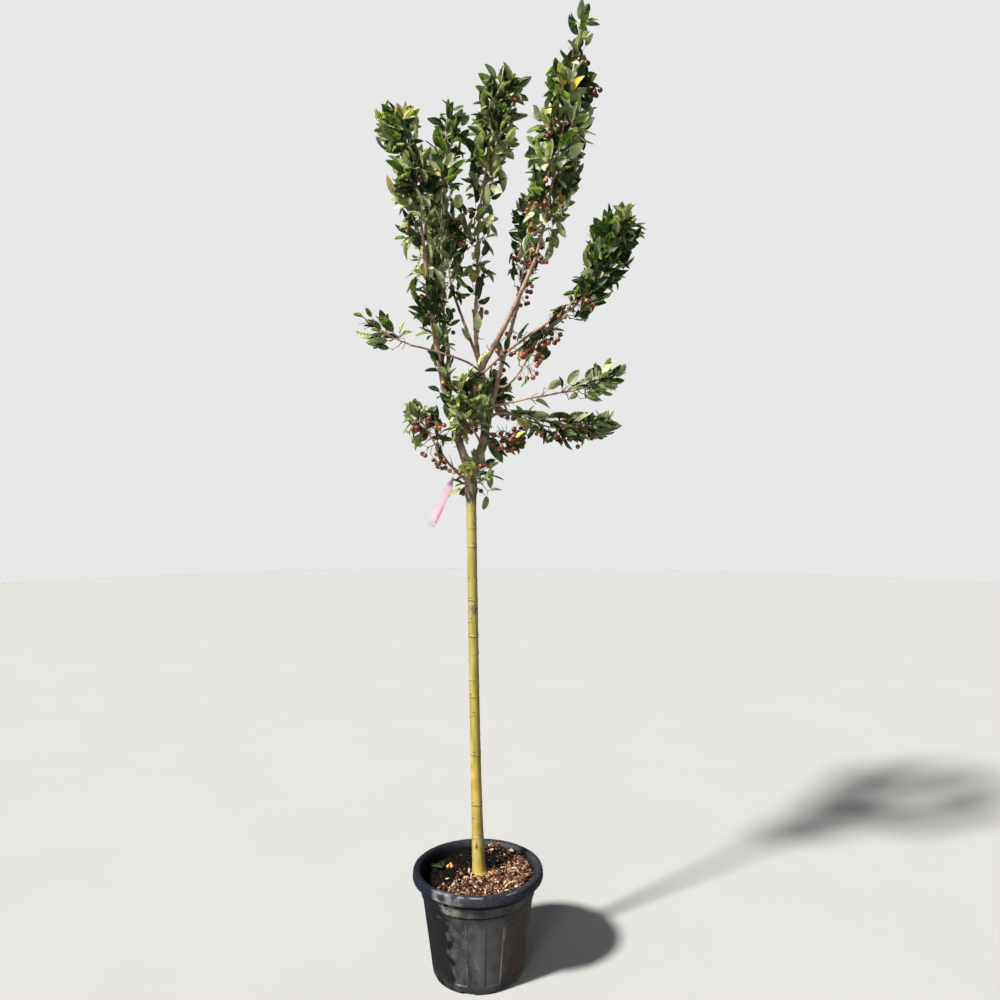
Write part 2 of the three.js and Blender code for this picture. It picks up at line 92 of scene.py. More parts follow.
class Wire:
    """A socket of a finish's nodes, so that masks and colours are worked out as plain arithmetic."""

    def __init__(self, tree, socket):
        self.tree = tree
        self.socket = socket

    def node(self, kind, inputs=(), output=0, **settings):
        made = self.tree.nodes.new("ShaderNode" + kind)
        for name, value in settings.items():
            setattr(made, name, value)
        for name, value in dict(inputs).items():
            if isinstance(value, Wire):
                self.tree.links.new(value.socket, made.inputs[name])
            else:
                made.inputs[name].default_value = value
        return Wire(self.tree, made.outputs[output])

    def maths(self, operation, first, second):
        return self.node("Math", {0: first, 1: second}, operation=operation)

    def __add__(self, other):
        return self.maths("ADD", self, other)

    def __sub__(self, other):
        return self.maths("SUBTRACT", self, other)

    def __rsub__(self, other):
        return self.maths("SUBTRACT", other, self)

    def __mul__(self, other):
        return self.maths("MULTIPLY", self, other)

    __radd__ = __add__
    __rmul__ = __mul__

    def fraction(self):
        return self.node("Math", {0: self}, operation="FRACT")

    def step(self, low, high):
        """0 below low and 1 above high, with a smooth change between."""
        limits = {"Value": self, "From Min": low, "From Max": high}
        return self.node("MapRange", limits, interpolation_type="SMOOTHSTEP")

    def band(self, low, from_low, to_high, high):
        """1 between the two middle values, and 0 outside the outer ones."""
        return self.step(low, from_low) * (1 - self.step(to_high, high))

    def blend(self, first, second):
        """The first colour where this mask is 0, and the second where it is 1."""
        first, second = ((*shade, 1) if isinstance(shade, tuple) else shade for shade in (first, second))
        return self.node("Mix", {0: self, 6: first, 7: second}, output=2, data_type="RGBA")

    def under(self, *coats):
        """This colour with others laid over it in turn, each where its own mask is 1."""
        shade = self
        for mask, coat in coats:
            shade = mask.blend(shade, coat)
        return shade

    def grain(self, scale, detail=2, stretch=(1, 1, 1)):
        """Soft noise, with that many grains to the metre, drawn out along the axes with a small stretch."""
        place = self.node("Mapping", {"Vector": self, "Scale": stretch})
        return place.node("TexNoise", {"Vector": place, "Scale": scale, "Detail": detail})

    def patch(self, middle, half_sizes, turn=0.0):
        """1 in a rounded patch with a soft edge, turned about the front axis, and 0 outside it."""
        sizes = {"Vector": self, "Location": middle, "Rotation": (0, turn, 0), "Scale": half_sizes}
        place = self.node("Mapping", sizes, vector_type="TEXTURE")
        return 1 - place.node("VectorMath", {0: place}, output=1, operation="LENGTH").step(0.6, 1.0)

    def axis(self, name):
        return self.node("SeparateXYZ", {0: self}, output=name)


class Finish:
    """A material whose surface is set from its place on the object."""

    def __init__(self, name, **fixed):
        self.material = bpy.data.materials.new(name)
        self.material.use_nodes = True
        self.tree = self.material.node_tree
        self.surface = self.tree.nodes["Principled BSDF"]
        self.place = Wire(self.tree, self.tree.nodes.new("ShaderNodeTexCoord").outputs["Object"])
        for name, value in fixed.items():
            self.surface.inputs[name.replace("_", " ")].default_value = value

    def feed(self, **wires):
        for name, wire in wires.items():
            self.tree.links.new(wire.socket, self.surface.inputs[name.replace("_", " ")])

    def relief(self, height, depth, strength=1.0):
        """Bumps of that depth in metres, which the light catches."""
        self.feed(Normal=self.place.node("Bump", {"Height": height, "Strength": strength, "Distance": depth}))

    def attribute(self, name):
        return self.place.node("Attribute", output="Fac", attribute_name=name)


def pale_board():
    finish = Finish("pale_board", Roughness=0.9, Specular_IOR_Level=0.1)
    cloud = finish.place.grain(1.5)
    finish.feed(Base_Color=cloud.blend((0.40, 0.405, 0.41), (0.42, 0.425, 0.43)))
    return finish.material


def started(name, primitive, **sizes):
    """A new piece, begun as a primitive with its place in its mesh, selected alone and open for editing."""
    bpy.ops.object.select_all(action="DESELECT")
    primitive(**sizes)
    piece = bpy.context.object
    piece.name = name
    bpy.ops.object.transform_apply()
    bpy.ops.object.mode_set(mode="EDIT")
    return piece


floor = started("floor", bpy.ops.mesh.primitive_circle_add, vertices=FLOOR_SIDES, radius=FLOOR_RADIUS,
                fill_type="NGON")
bpy.ops.mesh.inset(thickness=FLOOR_RADIUS * FLOOR_RING)
bpy.ops.object.mode_set(mode="OBJECT")
floor.visible_glossy = False
floor.data.materials.append(pale_board())


# Backdrop
# A round screen of pale paper, lit evenly, stands far off on every side. It lights nothing on the plant.

SCREEN_HEIGHT, SCREEN_SIDES = 14.0, 96


def lit_paper():
    finish = Finish("lit_paper", Base_Color=(0, 0, 0, 1), Specular_IOR_Level=0.0, Emission_Strength=1.0)
    cloud = finish.place.grain(0.4)
    finish.feed(Emission_Color=cloud.blend((0.79, 0.79, 0.79), (0.82, 0.82, 0.82)))
    return finish.material


backdrop = started("backdrop", bpy.ops.mesh.primitive_circle_add, vertices=SCREEN_SIDES, radius=FLOOR_RADIUS)
bpy.ops.mesh.extrude_region_move(TRANSFORM_OT_translate={"value": (0, 0, SCREEN_HEIGHT)})
bpy.ops.object.mode_set(mode="OBJECT")
backdrop.visible_diffuse = False
backdrop.visible_glossy = False
backdrop.visible_shadow = False
backdrop.data.materials.append(lit_paper())


# Pot
# A round nursery pot blown from black plastic, with a rolled rim, a plain band under it, flat strips down the
# wall that are set back by turns, and drainage slots round the foot. It is scuffed, muddy and covered in
# dust.
# A shadow is painted on the left of the wall and rim, and shade inside the pot and under the rim and the
# band, with a painted highlight along the front of the rim and painted light on the band and right of the
# middle.

POT_HEIGHT = 0.315
POT_FOOT_RADIUS, POT_SHOULDER_RADIUS, POT_RIM_RADIUS = 0.1395, 0.1795, 0.200
RIM_LOW = 0.287
BAND_LOW = 0.241
BAND_DEPTH = 0.003
WALL, POT_FLOOR = 0.004, 0.012
FOOT_ROUND, FOOT_TURNS = 0.006, (0.4, 0.8, 1.2, 1.57)
FOOT_RING, FOOT_HOLLOW = 0.014, 0.004
STRIPS, STRIP_LOW, STRIP_HIGH, STRIP_DEPTH, STRIP_EDGE = 18, 0.026, 0.236, 0.0022, 0.0014
SIDES_A_STRIP = 10
POT_SOFT_EDGE = 0.0007
STRIP_TURN = math.radians(19)
SLOTS, SLOT_TURN, SLOT_SIZE = 6, 1 / 3, (0.070, 0.036, 0.018)
WALL_LEVELS = (0.012, 0.018, STRIP_LOW, 0.08, 0.135, 0.19, STRIP_HIGH, 0.2400)
BAND_LEVELS = (BAND_LOW, 0.2435, 0.265, 0.2845)
RIM_ROLL = [(0.1945, 0.2855), (0.1985, 0.2875), (POT_RIM_RADIUS, 0.292), (0.1995, 0.3), (0.1988, 0.308),
            (0.1972, 0.3125), (0.1935, 0.3148), (0.188, POT_HEIGHT), (0.1825, 0.3142), (0.1788, 0.3115),
            (0.1768, 0.3065)]
INSIDE_LEVELS, INSIDE_MIDDLE = (0.295, 0.27, 0.2, 0.1, POT_FLOOR), 0.02


def wall_radius(level):
    return POT_FOOT_RADIUS + (POT_SHOULDER_RADIUS - POT_FOOT_RADIUS) * level / RIM_LOW


def set_back(level):
    return wall_radius(level) - BAND_DEPTH


def inner_radius(level):
    return set_back(level) - WALL


def draw_up(rings):
    """Extrudes the open edge that is selected from ring to ring, each a radius and a level."""
    for (radius, level), (next_radius, next_level) in zip(rings, rings[1:]):
        rise = {"value": (0, 0, next_level - level)}
        bpy.ops.mesh.extrude_region_move(TRANSFORM_OT_translate=rise)
        widen = next_radius / radius
        bpy.ops.transform.resize(value=(widen, widen, 1), center_override=(0, 0, next_level))


def select_faces(piece, wanted):
    """Selects those faces whose middle passes a test."""
    bpy.ops.mesh.select_mode(type="FACE")
    bpy.ops.mesh.select_all(action="DESELECT")
    mesh = bmesh.from_edit_mesh(piece.data)
    for face in mesh.faces:
        face.select_set(wanted(face.calc_center_median()))
    bmesh.update_edit_mesh(piece.data)


def select_open_edge():
    """Selects the edges at which the skin of the piece isn't closed."""
    bpy.ops.mesh.select_all(action="DESELECT")
    bpy.ops.mesh.select_mode(type="EDGE")
    bpy.ops.mesh.select_non_manifold()


def turn_outwards():
    """Points every face of the piece outwards."""
    bpy.ops.mesh.select_all(action="SELECT")
    bpy.ops.mesh.normals_make_consistent(inside=False)


def choose(piece):
    """Selects a piece, and nothing else."""
    bpy.ops.object.select_all(action="DESELECT")
    piece.select_set(True)
    bpy.context.view_layer.objects.active = piece


def apply_modifier(piece, kind, **settings):
    """Works a modifier with its settings into the mesh of a piece."""
    choose(piece)
    added = piece.modifiers.new(kind.lower(), kind)
    for name, value in settings.items():
        setattr(added, name, value)
    bpy.ops.object.modifier_apply(modifier=added.name)


def strip_of(point):
    """Which strip of the wall a point is on, counted round."""
    turn = (math.atan2(point.y, point.x) - STRIP_TURN) % (2 * math.pi)
    return int(turn / (2 * math.pi) * STRIPS)


def black_plastic():
    finish = Finish("black_plastic", Specular_IOR_Level=0.24)
    place = finish.place
    level, across, ahead = place.axis("Z"), place.axis("X"), place.axis("Y")
    cloud = place.grain(34, detail=5)
    speck = place.grain(380, detail=3)
    streaks = place.grain(70, detail=3, stretch=(1, 1, 0.12))
    dust = (cloud * 0.5 + speck * 0.3 + streaks * 0.25).step(0.46, 0.64)
    scuffs = place.patch((-0.030, -0.15, 0.155), (0.060, 0.05, 0.095)) * speck.step(0.50, 0.60)
    # dust, and also painted light: a paler patch right of the middle that makes up for the wall turning away
    # from the light
    dust_and_light = place.patch((0.050, -0.15, 0.12), (0.080, 0.06, 0.15)) * (0.5 + cloud * 0.5)
    brown = across.step(0.068, 0.125) * (0.55 + streaks * 0.45)
    strip_turn = (ahead.maths("ARCTAN2", ahead, across) - STRIP_TURN) * (STRIPS / (2 * math.pi))
    strip_share = strip_turn.fraction()
    rubbed = strip_share.step(0.955, 0.985) + (1 - strip_share.step(0.015, 0.045))
    rubbed = rubbed * level.band(0.03, 0.05, 0.225, 0.236) * streaks.step(0.42, 0.56)
    # the band is dusty, and is also painted lighter, as painted light where the rim shades it
    band_dust_and_light = level.band(0.243, 0.247, 0.272, 0.280)
    muddy = (speck * 0.6 + cloud * 0.5).step(0.46, 0.58)
    splash = place.patch((-0.079, -0.160, 0.262), (0.042, 0.03, 0.026)) * muddy
    # painted shadow: the left flank of the wall is painted near black and matt, as a cast shadow with a
    # blotchy edge
    painted_shadow = 1 - (across + cloud * 0.13 + (level - 0.213) * 0.165).step(-0.030, -0.018)
    # painted shade: near-black lines just under the band's ledge and under the rim, where shade falls; the
    # one under the rim stops at the left
    painted_shade_lines = level.band(0.236, 0.2385, 0.2415, 0.2430)
    painted_shade_lines = painted_shade_lines + level.band(0.266, 0.270, 0.286, 0.288) * across.step(-0.085, -0.055)
    rim = level.step(0.286, 0.290)
    # painted shadow: the left of the rim is painted near black blue, going on from the shadow painted on the
    # wall
    rim_painted_shadow = 1 - (across + cloud * 0.06).step(-0.12, 0.0)
    worn = place.patch((-0.085, -0.175, 0.300), (0.060, 0.05, 0.03)) * cloud.step(0.35, 0.65)
    # painted highlight: a pale glint along the top edge of the rim, at the front only
    edge = level.band(0.3100, 0.3125, 0.3135, 0.3148) * cloud.step(0.42, 0.55)
    edge = edge * (1 - ahead.step(-0.185, -0.13))
    rim_shade = speck.step(0.44, 0.72).blend((0.011, 0.013, 0.020), (0.072, 0.076, 0.090)).under(
        (rim_painted_shadow * 0.8, (0.004, 0.006, 0.013)),
        (worn * 0.75, (0.19, 0.19, 0.195)),
        (edge * 0.75, (0.20, 0.205, 0.22)),
    )
    # painted shade: the inner wall is painted near black and matt, as the shade inside the pot
    room = level * ((POT_SHOULDER_RADIUS - POT_FOOT_RADIUS) / RIM_LOW) + (set_back(0) - 0.003)
    inside = (room * room - across * across - ahead * ahead).step(0.0, 0.0003)
    long = place.patch((-0.0015, -0.147, 0.100), (0.0009, 0.02, 0.038), -0.51) * speck.step(0.45, 0.55)
    short = place.patch((0.002, -0.147, 0.084), (0.0012, 0.02, 0.012), -0.62) * speck.step(0.40, 0.52)
    upright = place.patch((0.082, -0.137, 0.184), (0.0013, 0.02, 0.027), 0.10)
    crosswise = place.patch((0.103, -0.132, 0.214), (0.0045, 0.02, 0.0014), 0.15)
    scratches = long + short + upright + crosswise
    damp = (1 - level.step(0.0, 0.05)) * cloud.step(0.4, 0.6)
    shade = dust.blend((0.020, 0.021, 0.024), (0.052, 0.053, 0.057)).under(
        (scuffs * 0.45, (0.095, 0.096, 0.100)),
        (dust_and_light * 0.75, (0.086, 0.084, 0.082)),
        (brown, (0.076, 0.050, 0.036)),
        (rubbed * (0.15 + level.step(0.03, 0.05) * 0.35), (0.125, 0.115, 0.105)),
        (band_dust_and_light * 0.85, dust.blend((0.040, 0.040, 0.042), (0.080, 0.080, 0.078))),
        (splash * 0.9, (0.135, 0.13, 0.11)),
        (painted_shadow * (1 - level.step(0.284, 0.290)) * 0.95, (0.002, 0.003, 0.005)),
        (painted_shade_lines * 0.9, (0.002, 0.002, 0.003)),
        (rim, rim_shade),
        (inside, (0.002, 0.002, 0.003)),
        (scratches * 0.9, (0.22, 0.22, 0.225)),
        (damp * 0.8, (0.036, 0.031, 0.026)),
    )
    rough = 0.30 + dust * 0.25 + splash * 0.3 + speck * 0.1 + painted_shadow * (1 - rim) * 0.5 + inside * 0.5
    finish.feed(Base_Color=shade, Roughness=rough)
    finish.relief(cloud * 0.3 + speck * 0.2 + scratches * 0.4 + splash * 0.5, 0.0007)
    return finish.material


foot = (set_back(0) - FOOT_ROUND, 0.0)
pot = started("pot_shell", bpy.ops.mesh.primitive_circle_add, vertices=STRIPS * SIDES_A_STRIP, radius=foot[0],
              rotation=(0, 0, STRIP_TURN))
rounded_foot = [(set_back(0) - FOOT_ROUND * (1 - math.sin(turn)), FOOT_ROUND * (1 - math.cos(turn)))
                for turn in FOOT_TURNS]
wall = [(set_back(level), level) for level in WALL_LEVELS]
band = [(wall_radius(level), level) for level in BAND_LEVELS]
inside = [(inner_radius(level), level) for level in INSIDE_LEVELS]
draw_up([foot] + rounded_foot + wall + band + RIM_ROLL + inside + [(INSIDE_MIDDLE, POT_FLOOR)])
bpy.ops.mesh.edge_face_add()
select_open_edge()
bpy.ops.mesh.edge_face_add()
bpy.ops.mesh.inset(thickness=FOOT_RING)
bpy.ops.transform.translate(value=(0, 0, FOOT_HOLLOW))
turn_outwards()
select_faces(pot, lambda middle: STRIP_LOW < middle.z < STRIP_HIGH and strip_of(middle) % 2
             and math.hypot(middle.x, middle.y) > set_back(middle.z) - WALL / 2)
bpy.ops.mesh.inset(thickness=STRIP_EDGE)
bpy.ops.transform.shrink_fatten(value=-STRIP_DEPTH)
bpy.ops.object.mode_set(mode="OBJECT")

for i in range(SLOTS):
    turn = (i + SLOT_TURN) / SLOTS * 2 * math.pi
    at = (POT_FOOT_RADIUS * math.cos(turn), POT_FOOT_RADIUS * math.sin(turn), 0)
    bpy.ops.mesh.primitive_cube_add(size=1, location=at, rotation=(0, 0, turn))
    slot_cutter = bpy.context.object
    slot_cutter.scale = SLOT_SIZE
    apply_modifier(pot, "BOOLEAN", object=slot_cutter, operation="DIFFERENCE")
    bpy.data.objects.remove(slot_cutter)
apply_modifier(pot, "BEVEL", width=POT_SOFT_EDGE, segments=2, angle_limit=math.radians(28))
bpy.ops.object.shade_smooth_by_angle(angle=math.radians(32))
pot.data.materials.append(black_plastic())
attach(pot, "root")
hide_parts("pot")


# Potting bark
# Composted bark fills the pot. It is heaped at the right and the back, and sinks just behind the stem. It is
# damp, painted dark at the left and the back as shade, and painted lighter at the right and the front as lit.

BARK_LEVEL, BARK_EDGE_LEVEL = 0.290, 0.285
BARK_TILT, HEAP_HEADING = 0.018, math.radians(15)
MOUNDS = [  # place, width, rise
    (0.050, 0.146, 0.024, 0.019),
    (0.115, 0.095, 0.036, 0.006),
    (0.040, 0.064, 0.026, -0.012),
]
BARK_FLAT_RADIUS, BARK_SMOOTH_RADIUS = 0.037, 0.03
BARK_GAP, HEAP_GAP = 0.001, 0.0015  # between the wall and the bed, and between the wall and the heap's slope
BARK_UNDER_CHIPS = 0.002
CLOD_HEIGHT, CLODS, CRUMBS, CRUMB_SHARE = 0.0025, 45, 110, 0.6
BARK_RINGS, BARK_SIDES = 16, 96
BARK_LEVELS = (BARK_LEVEL, 0.2, POT_FLOOR + 0.0003)


def eased(share):
    """A share from 0 to 1, with a slow start and a slow end."""
    share = np.clip(share, 0, 1)
    return share * share * (3 - 2 * share)


def bark_level(x, y):
    """The height of the heap over a place, before the chips lie on it."""
    edge = inner_radius(BARK_LEVEL) - HEAP_GAP
    out = eased((np.hypot(x, y) - BARK_FLAT_RADIUS) / (edge - BARK_FLAT_RADIUS))
    tilt = BARK_TILT * np.cos(np.arctan2(y, x) - HEAP_HEADING)
    return BARK_LEVEL + out * (BARK_EDGE_LEVEL - BARK_LEVEL + tilt) + mounded(x, y)


def mounded(x, y):
    """How far small heaps stand over the bark, and a hollow behind the stem lies under it."""
    return sum(rise * np.exp(-((x - at_x) ** 2 + (y - at_y) ** 2) / wide ** 2)
               for at_x, at_y, wide, rise in MOUNDS)


def damp_shaded_bark():
    finish = Finish("damp_shaded_bark", Roughness=0.95, Specular_IOR_Level=0.05)
    place = finish.place
    crumbs = place.grain(160, detail=5)
    # painted light and shade: the bed is lighter at the right and front, as lit, and near black at the left
    # and back, as shade
    lit = (place.axis("X") - place.axis("Y") * 1.1).step(-0.085, 0.035)
    dark = crumbs.blend((0.003, 0.002, 0.002), (0.018, 0.011, 0.008))
    sunlit_crumbs = crumbs.step(0.35, 0.7).blend((0.05, 0.025, 0.015), (0.2, 0.1, 0.055))
    finish.feed(Base_Color=lit.blend(dark, sunlit_crumbs))
    finish.relief(crumbs, 0.006)
    return finish.material


bark_edge = inner_radius(BARK_LEVEL) - BARK_GAP
bark_bed = started("bark_bed", bpy.ops.mesh.primitive_circle_add, vertices=BARK_SIDES, radius=bark_edge,
                   fill_type="NGON", location=(0, 0, BARK_LEVEL))
for _ in range(BARK_RINGS):
    bpy.ops.mesh.inset(thickness=bark_edge / (BARK_RINGS + 1))
bpy.ops.mesh.poke()
select_open_edge()
draw_up([(inner_radius(level) - BARK_GAP, level) for level in BARK_LEVELS])
bpy.ops.mesh.edge_face_add()
turn_outwards()
bpy.ops.object.mode_set(mode="OBJECT")
for corner in bark_bed.data.vertices:
    if corner.co.z > BARK_LEVELS[1] + BARK_GAP:
        x, y, _ = corner.co
        clod = noise.noise(corner.co * CLODS) + CRUMB_SHARE * noise.noise(corner.co * CRUMBS)
        rough = CLOD_HEIGHT * clod * (math.hypot(x, y) > BARK_SMOOTH_RADIUS)
        corner.co.z = float(bark_level(x, y)) - BARK_UNDER_CHIPS + rough
bpy.ops.object.shade_smooth_by_angle(angle=math.radians(50))
bark_bed.data.materials.append(damp_shaded_bark())
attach(bark_bed, "root")
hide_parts("bark_mulch")


# Bark chips
# Flat splinters of pine bark, 6 to 31 mm long, lie over the bed at every angle. Some are new and pale, some
# red brown. Pale ones are dealt where the bed is painted as sunlit, and those at the left are painted near
# black, as damp and in shade. A few orange ones lie beside the stem.

CHIPS = 3600
CHIP_LENGTH, CHIP_WIDTH, CHIP_THICKNESS = (0.008, 0.025), (0.0042, 0.0115), (0.0014, 0.0040)
CHIP_OUTLINE = np.array([(-0.5, 0), (-0.28, -0.5), (0.3, -0.42), (0.5, 0.05), (0.22, 0.5), (-0.3, 0.4)])
CHIP_TILT, CHIP_RISE, CHIP_OVER = 0.55, 0.006, 0.001
# the share of chips with each shade or a lighter one: what sun adds, and the least anywhere
CHIP_LIMITS = [(0.15, 0), (0.33, 0), (0.58, 0.01), (0.86, 0.02)]
WALL_CLEAR = 0.012
STEM_FOOT_X, STEM_CLEAR = 0.006, 0.026
ORANGE_X, ORANGE_Y, ORANGE_REACH, ORANGE_SHARE = 0.022, 0.002, 0.032, 0.7  # beside the stem


def new_piece(name, points, faces, finishes, shades=None):
    """A mesh from arrays: points, groups of equal-sided faces, and for each group which finish it takes."""
    corners = np.concatenate([group.ravel() for group in faces])
    sizes = np.concatenate([np.full(len(group), group.shape[1]) for group in faces])
    mesh = bpy.data.meshes.new(name)
    mesh.vertices.add(len(points))
    mesh.vertices.foreach_set("co", np.asarray(points, np.float32).ravel())
    mesh.loops.add(len(corners))
    mesh.loops.foreach_set("vertex_index", corners.astype(np.int32))
    mesh.polygons.add(len(sizes))
    mesh.polygons.foreach_set("loop_start", np.concatenate([[0], np.cumsum(sizes)[:-1]]).astype(np.int32))
    if shades is not None:
        mesh.polygons.foreach_set("material_index", np.concatenate(shades).astype(np.int32))
    for material in finishes:
        mesh.materials.append(material)
    mesh.update(calc_edges=True)
    mesh.validate()
    piece = bpy.data.objects.new(name, mesh)
    bpy.context.scene.collection.objects.link(piece)
    choose(piece)
    return piece


def repeated(faces, copies, corners):
    """The faces of one shape, for each of many copies of it that have that many corners."""
    return (faces[None] + np.arange(copies)[:, None, None] * corners).reshape(-1, faces.shape[1])


def unit(vectors):
    return vectors / np.maximum(np.linalg.norm(vectors, axis=-1, keepdims=True), 1e-9)


def chip_bark(name, dark, pale):
    finish = Finish(name, Roughness=0.85, Specular_IOR_Level=0.12)
    fibre = finish.place.grain(700, detail=3)
    finish.feed(Base_Color=fibre.step(0.3, 0.7).blend(dark, pale))
    finish.relief(fibre, 0.0006)
    return finish.material


chip_shades = [
    chip_bark("bark_cream", (0.42, 0.30, 0.21), (0.62, 0.48, 0.36)),
    chip_bark("bark_tan", (0.20, 0.11, 0.062), (0.36, 0.21, 0.125)),
    chip_bark("bark_red_brown", (0.085, 0.033, 0.018), (0.19, 0.082, 0.044)),
    chip_bark("bark_brown", (0.018, 0.008, 0.005), (0.065, 0.028, 0.016)),
    # near black, for chips that are damp and in painted shade
    chip_bark("bark_damp", (0.002, 0.0015, 0.0015), (0.008, 0.005, 0.004)),
    chip_bark("bark_orange", (0.30, 0.12, 0.025), (0.48, 0.24, 0.06)),
]
ORANGE = len(chip_shades) - 1
draw = np.random.default_rng(5)
radius = (inner_radius(BARK_LEVEL) - WALL_CLEAR) * np.sqrt(draw.random(CHIPS))
turn = draw.random(CHIPS) * 2 * math.pi
x, y = radius * np.cos(turn), radius * np.sin(turn)
kept = np.hypot(x - STEM_FOOT_X, y) > STEM_CLEAR
x, y = x[kept], y[kept]
count = len(x)
# how far a chip lies in painted sunlight: sunny chips take paler shades, shaded ones the near-black shade
sunny = np.clip((x - 1.1 * y + 0.085) / 0.12 + mounded(x, y) / 0.012, 0, 1)
luck = draw.random(count)
pick = sum((luck > in_sun * sunny + in_shade).astype(int) for in_sun, in_shade in CHIP_LIMITS)
beside_stem = np.hypot(x - STEM_FOOT_X - ORANGE_X, y - ORANGE_Y) < ORANGE_REACH
pick[beside_stem & (luck > 1 - ORANGE_SHARE)] = ORANGE
length = draw.uniform(*CHIP_LENGTH, count) * (0.75 + 0.5 * draw.random(count))
width = np.minimum(draw.uniform(*CHIP_WIDTH, count), length * 0.6)
thick = draw.uniform(*CHIP_THICKNESS, count)[:, None, None]
n = len(CHIP_OUTLINE)
outline = CHIP_OUTLINE[None] * np.stack([length, width], 1)[:, None] * draw.uniform(0.7, 1.15, (count, n, 1))
lower = np.concatenate([outline * 0.85, -0.5 * thick * np.ones((count, n, 1))], 2)
upper = np.concatenate([outline, 0.5 * thick * draw.uniform(0.6, 1.3, (count, n, 1))], 2)
facing = np.stack([draw.normal(0, CHIP_TILT, count), draw.normal(0, CHIP_TILT, count), np.ones(count)], 1)
facing = unit(facing)
heading = unit(np.cross(facing, unit(draw.normal(0, 1, (count, 3)))))
lift = bark_level(x, y) + CHIP_OVER + draw.uniform(0, CHIP_RISE, count) * (0.4 + 0.6 * sunny)
axes = np.stack([heading, np.cross(facing, heading), facing], 1)
points = np.stack([x, y, lift], 1)[:, None] + np.concatenate([lower, upper], 1) @ axes
rims = np.array([[i, (i + 1) % n, (i + 1) % n + n, i + n] for i in range(n)])
caps = np.array([range(n)[::-1], range(n, 2 * n)])
chip_faces = [repeated(faces, count, 2 * n) for faces in (rims, caps)]
picks = [np.repeat(pick, len(faces)) for faces in (rims, caps)]
chips = new_piece("bark_chips", points.reshape(-1, 3), chip_faces, chip_shades, picks)
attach(chips, "root")
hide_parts("bark_mulch")


# Stem
# One straight shoot of green and yellow bark, ringed with old bud scars, mostly about 55 mm apart. It flares
# at its foot, swells at the rough brown graft on top, and has a pruning scar two thirds of the way up.

TRUNK = dict(heading=180, reach=0.028, curl=0.6, bow=0, arch=0, rise=1.245)
TRUNK_FOOT = np.array([STEM_FOOT_X, 0, 0.290])
GIRTH_LEVELS = [0, 0.014, 0.05, 0.18, 0.38, 0.62, 1.12, 1.158, 1.18, 1.212, 1.245]
GIRTH_RADII = [0.025, 0.0215, 0.0198, 0.0172, 0.016, 0.0154, 0.0152, 0.016, 0.020, 0.0186, 0.021]
GRAFT_LEVEL = 1.143
TIP_ROUND = 0.012
SCAR_LEVEL, SCAR_HALF = 0.815, 0.022
FIRST_RING, RING_STEP, LAST_RING = 0.055, (0.044, 0.064), GRAFT_LEVEL - 0.02
RING_WIDTH, RING_HEIGHT = 0.0024, 0.0010
STEM_GRAINS = (90, 300)
GRAFT_UNEVEN, GRAFT_SLANT, GRAFT_FADE, GRAFT_HEADING = 0.006, 0.010, 0.006, math.radians(-60)
SCAR_HEADING = math.radians(-75)
CREASES = [(0.0, 0.012, 0.0016), (-0.011, 0.006, 0.0013)]  # level in the scar, waviness, width
BUD_WIDTH = 0.32  # in radians round the stem
BUD_LEVEL, BUD_LENGTH, BUD_HEIGHT = 0.004, 0.0036, 0.0016
# which mask, how strongly, how far above the ring, how wide
RING_MARKS = [("scar", 1.3, -0.0016, 0.0019), ("pale", 1.0, 0.0020, 0.0026)]
BUD_MARKS = [("pale", 0.8, 0.005, 0.003), ("scar", 1.2, 0.0085, 0.0024), ("scar", 0.7, 0.001, 0.0010)]
TRUNK_RINGS, TRUNK_SIDES = 640, 64


def line_of(limb, foot, share):
    """The middle of a limb at shares of its growth: out by a power of the share, up evenly, and bowed."""
    share = np.atleast_1d(share)
    turn = math.radians(limb["heading"])
    out = limb["reach"] * share ** limb["curl"]
    aside = limb["bow"] * np.sin(np.pi * share)
    return foot + np.stack([
        math.cos(turn) * out - math.sin(turn) * aside,
        math.sin(turn) * out + math.cos(turn) * aside,
        limb["rise"] * share + limb["arch"] * np.sin(np.pi * share),
    ], 1)


def evenly(limb, foot, rings):
    """Places along a limb, the same distance apart."""
    fine = line_of(limb, foot, np.linspace(0, 1, 400))
    run = np.concatenate([[0], np.cumsum(np.linalg.norm(np.diff(fine, axis=0), axis=1))])
    wanted = np.linspace(0, run[-1], rings + 1)
    return np.stack([np.interp(wanted, run, fine[:, k]) for k in range(3)], 1), run[-1]


def spokes(first, second, sides):
    """Unit vectors all round, from pairs that are square to each other."""
    turn = np.arange(sides) / sides * 2 * math.pi
    return first[:, None] * np.cos(turn)[None, :, None] + second[:, None] * np.sin(turn)[None, :, None]


def hoops(line, radii, sides):
    """Rings of points round a line, whose radii are one for each ring or one for each point."""
    along = unit(np.gradient(line, axis=0))
    first = np.zeros_like(line)
    first[0] = unit(np.cross(along[0], (0.0, 1.0, 0.0) if abs(along[0][1]) < 0.9 else (1.0, 0.0, 0.0)))
    for i in range(1, len(line)):
        first[i] = unit(first[i - 1] - along[i] * np.dot(first[i - 1], along[i]))
    spoke = spokes(first, np.cross(along, first), sides)
    radii = np.broadcast_to(radii if np.ndim(radii) == 2 else np.asarray(radii)[:, None], spoke.shape[:2])
    return line[:, None] + spoke * radii[:, :, None]


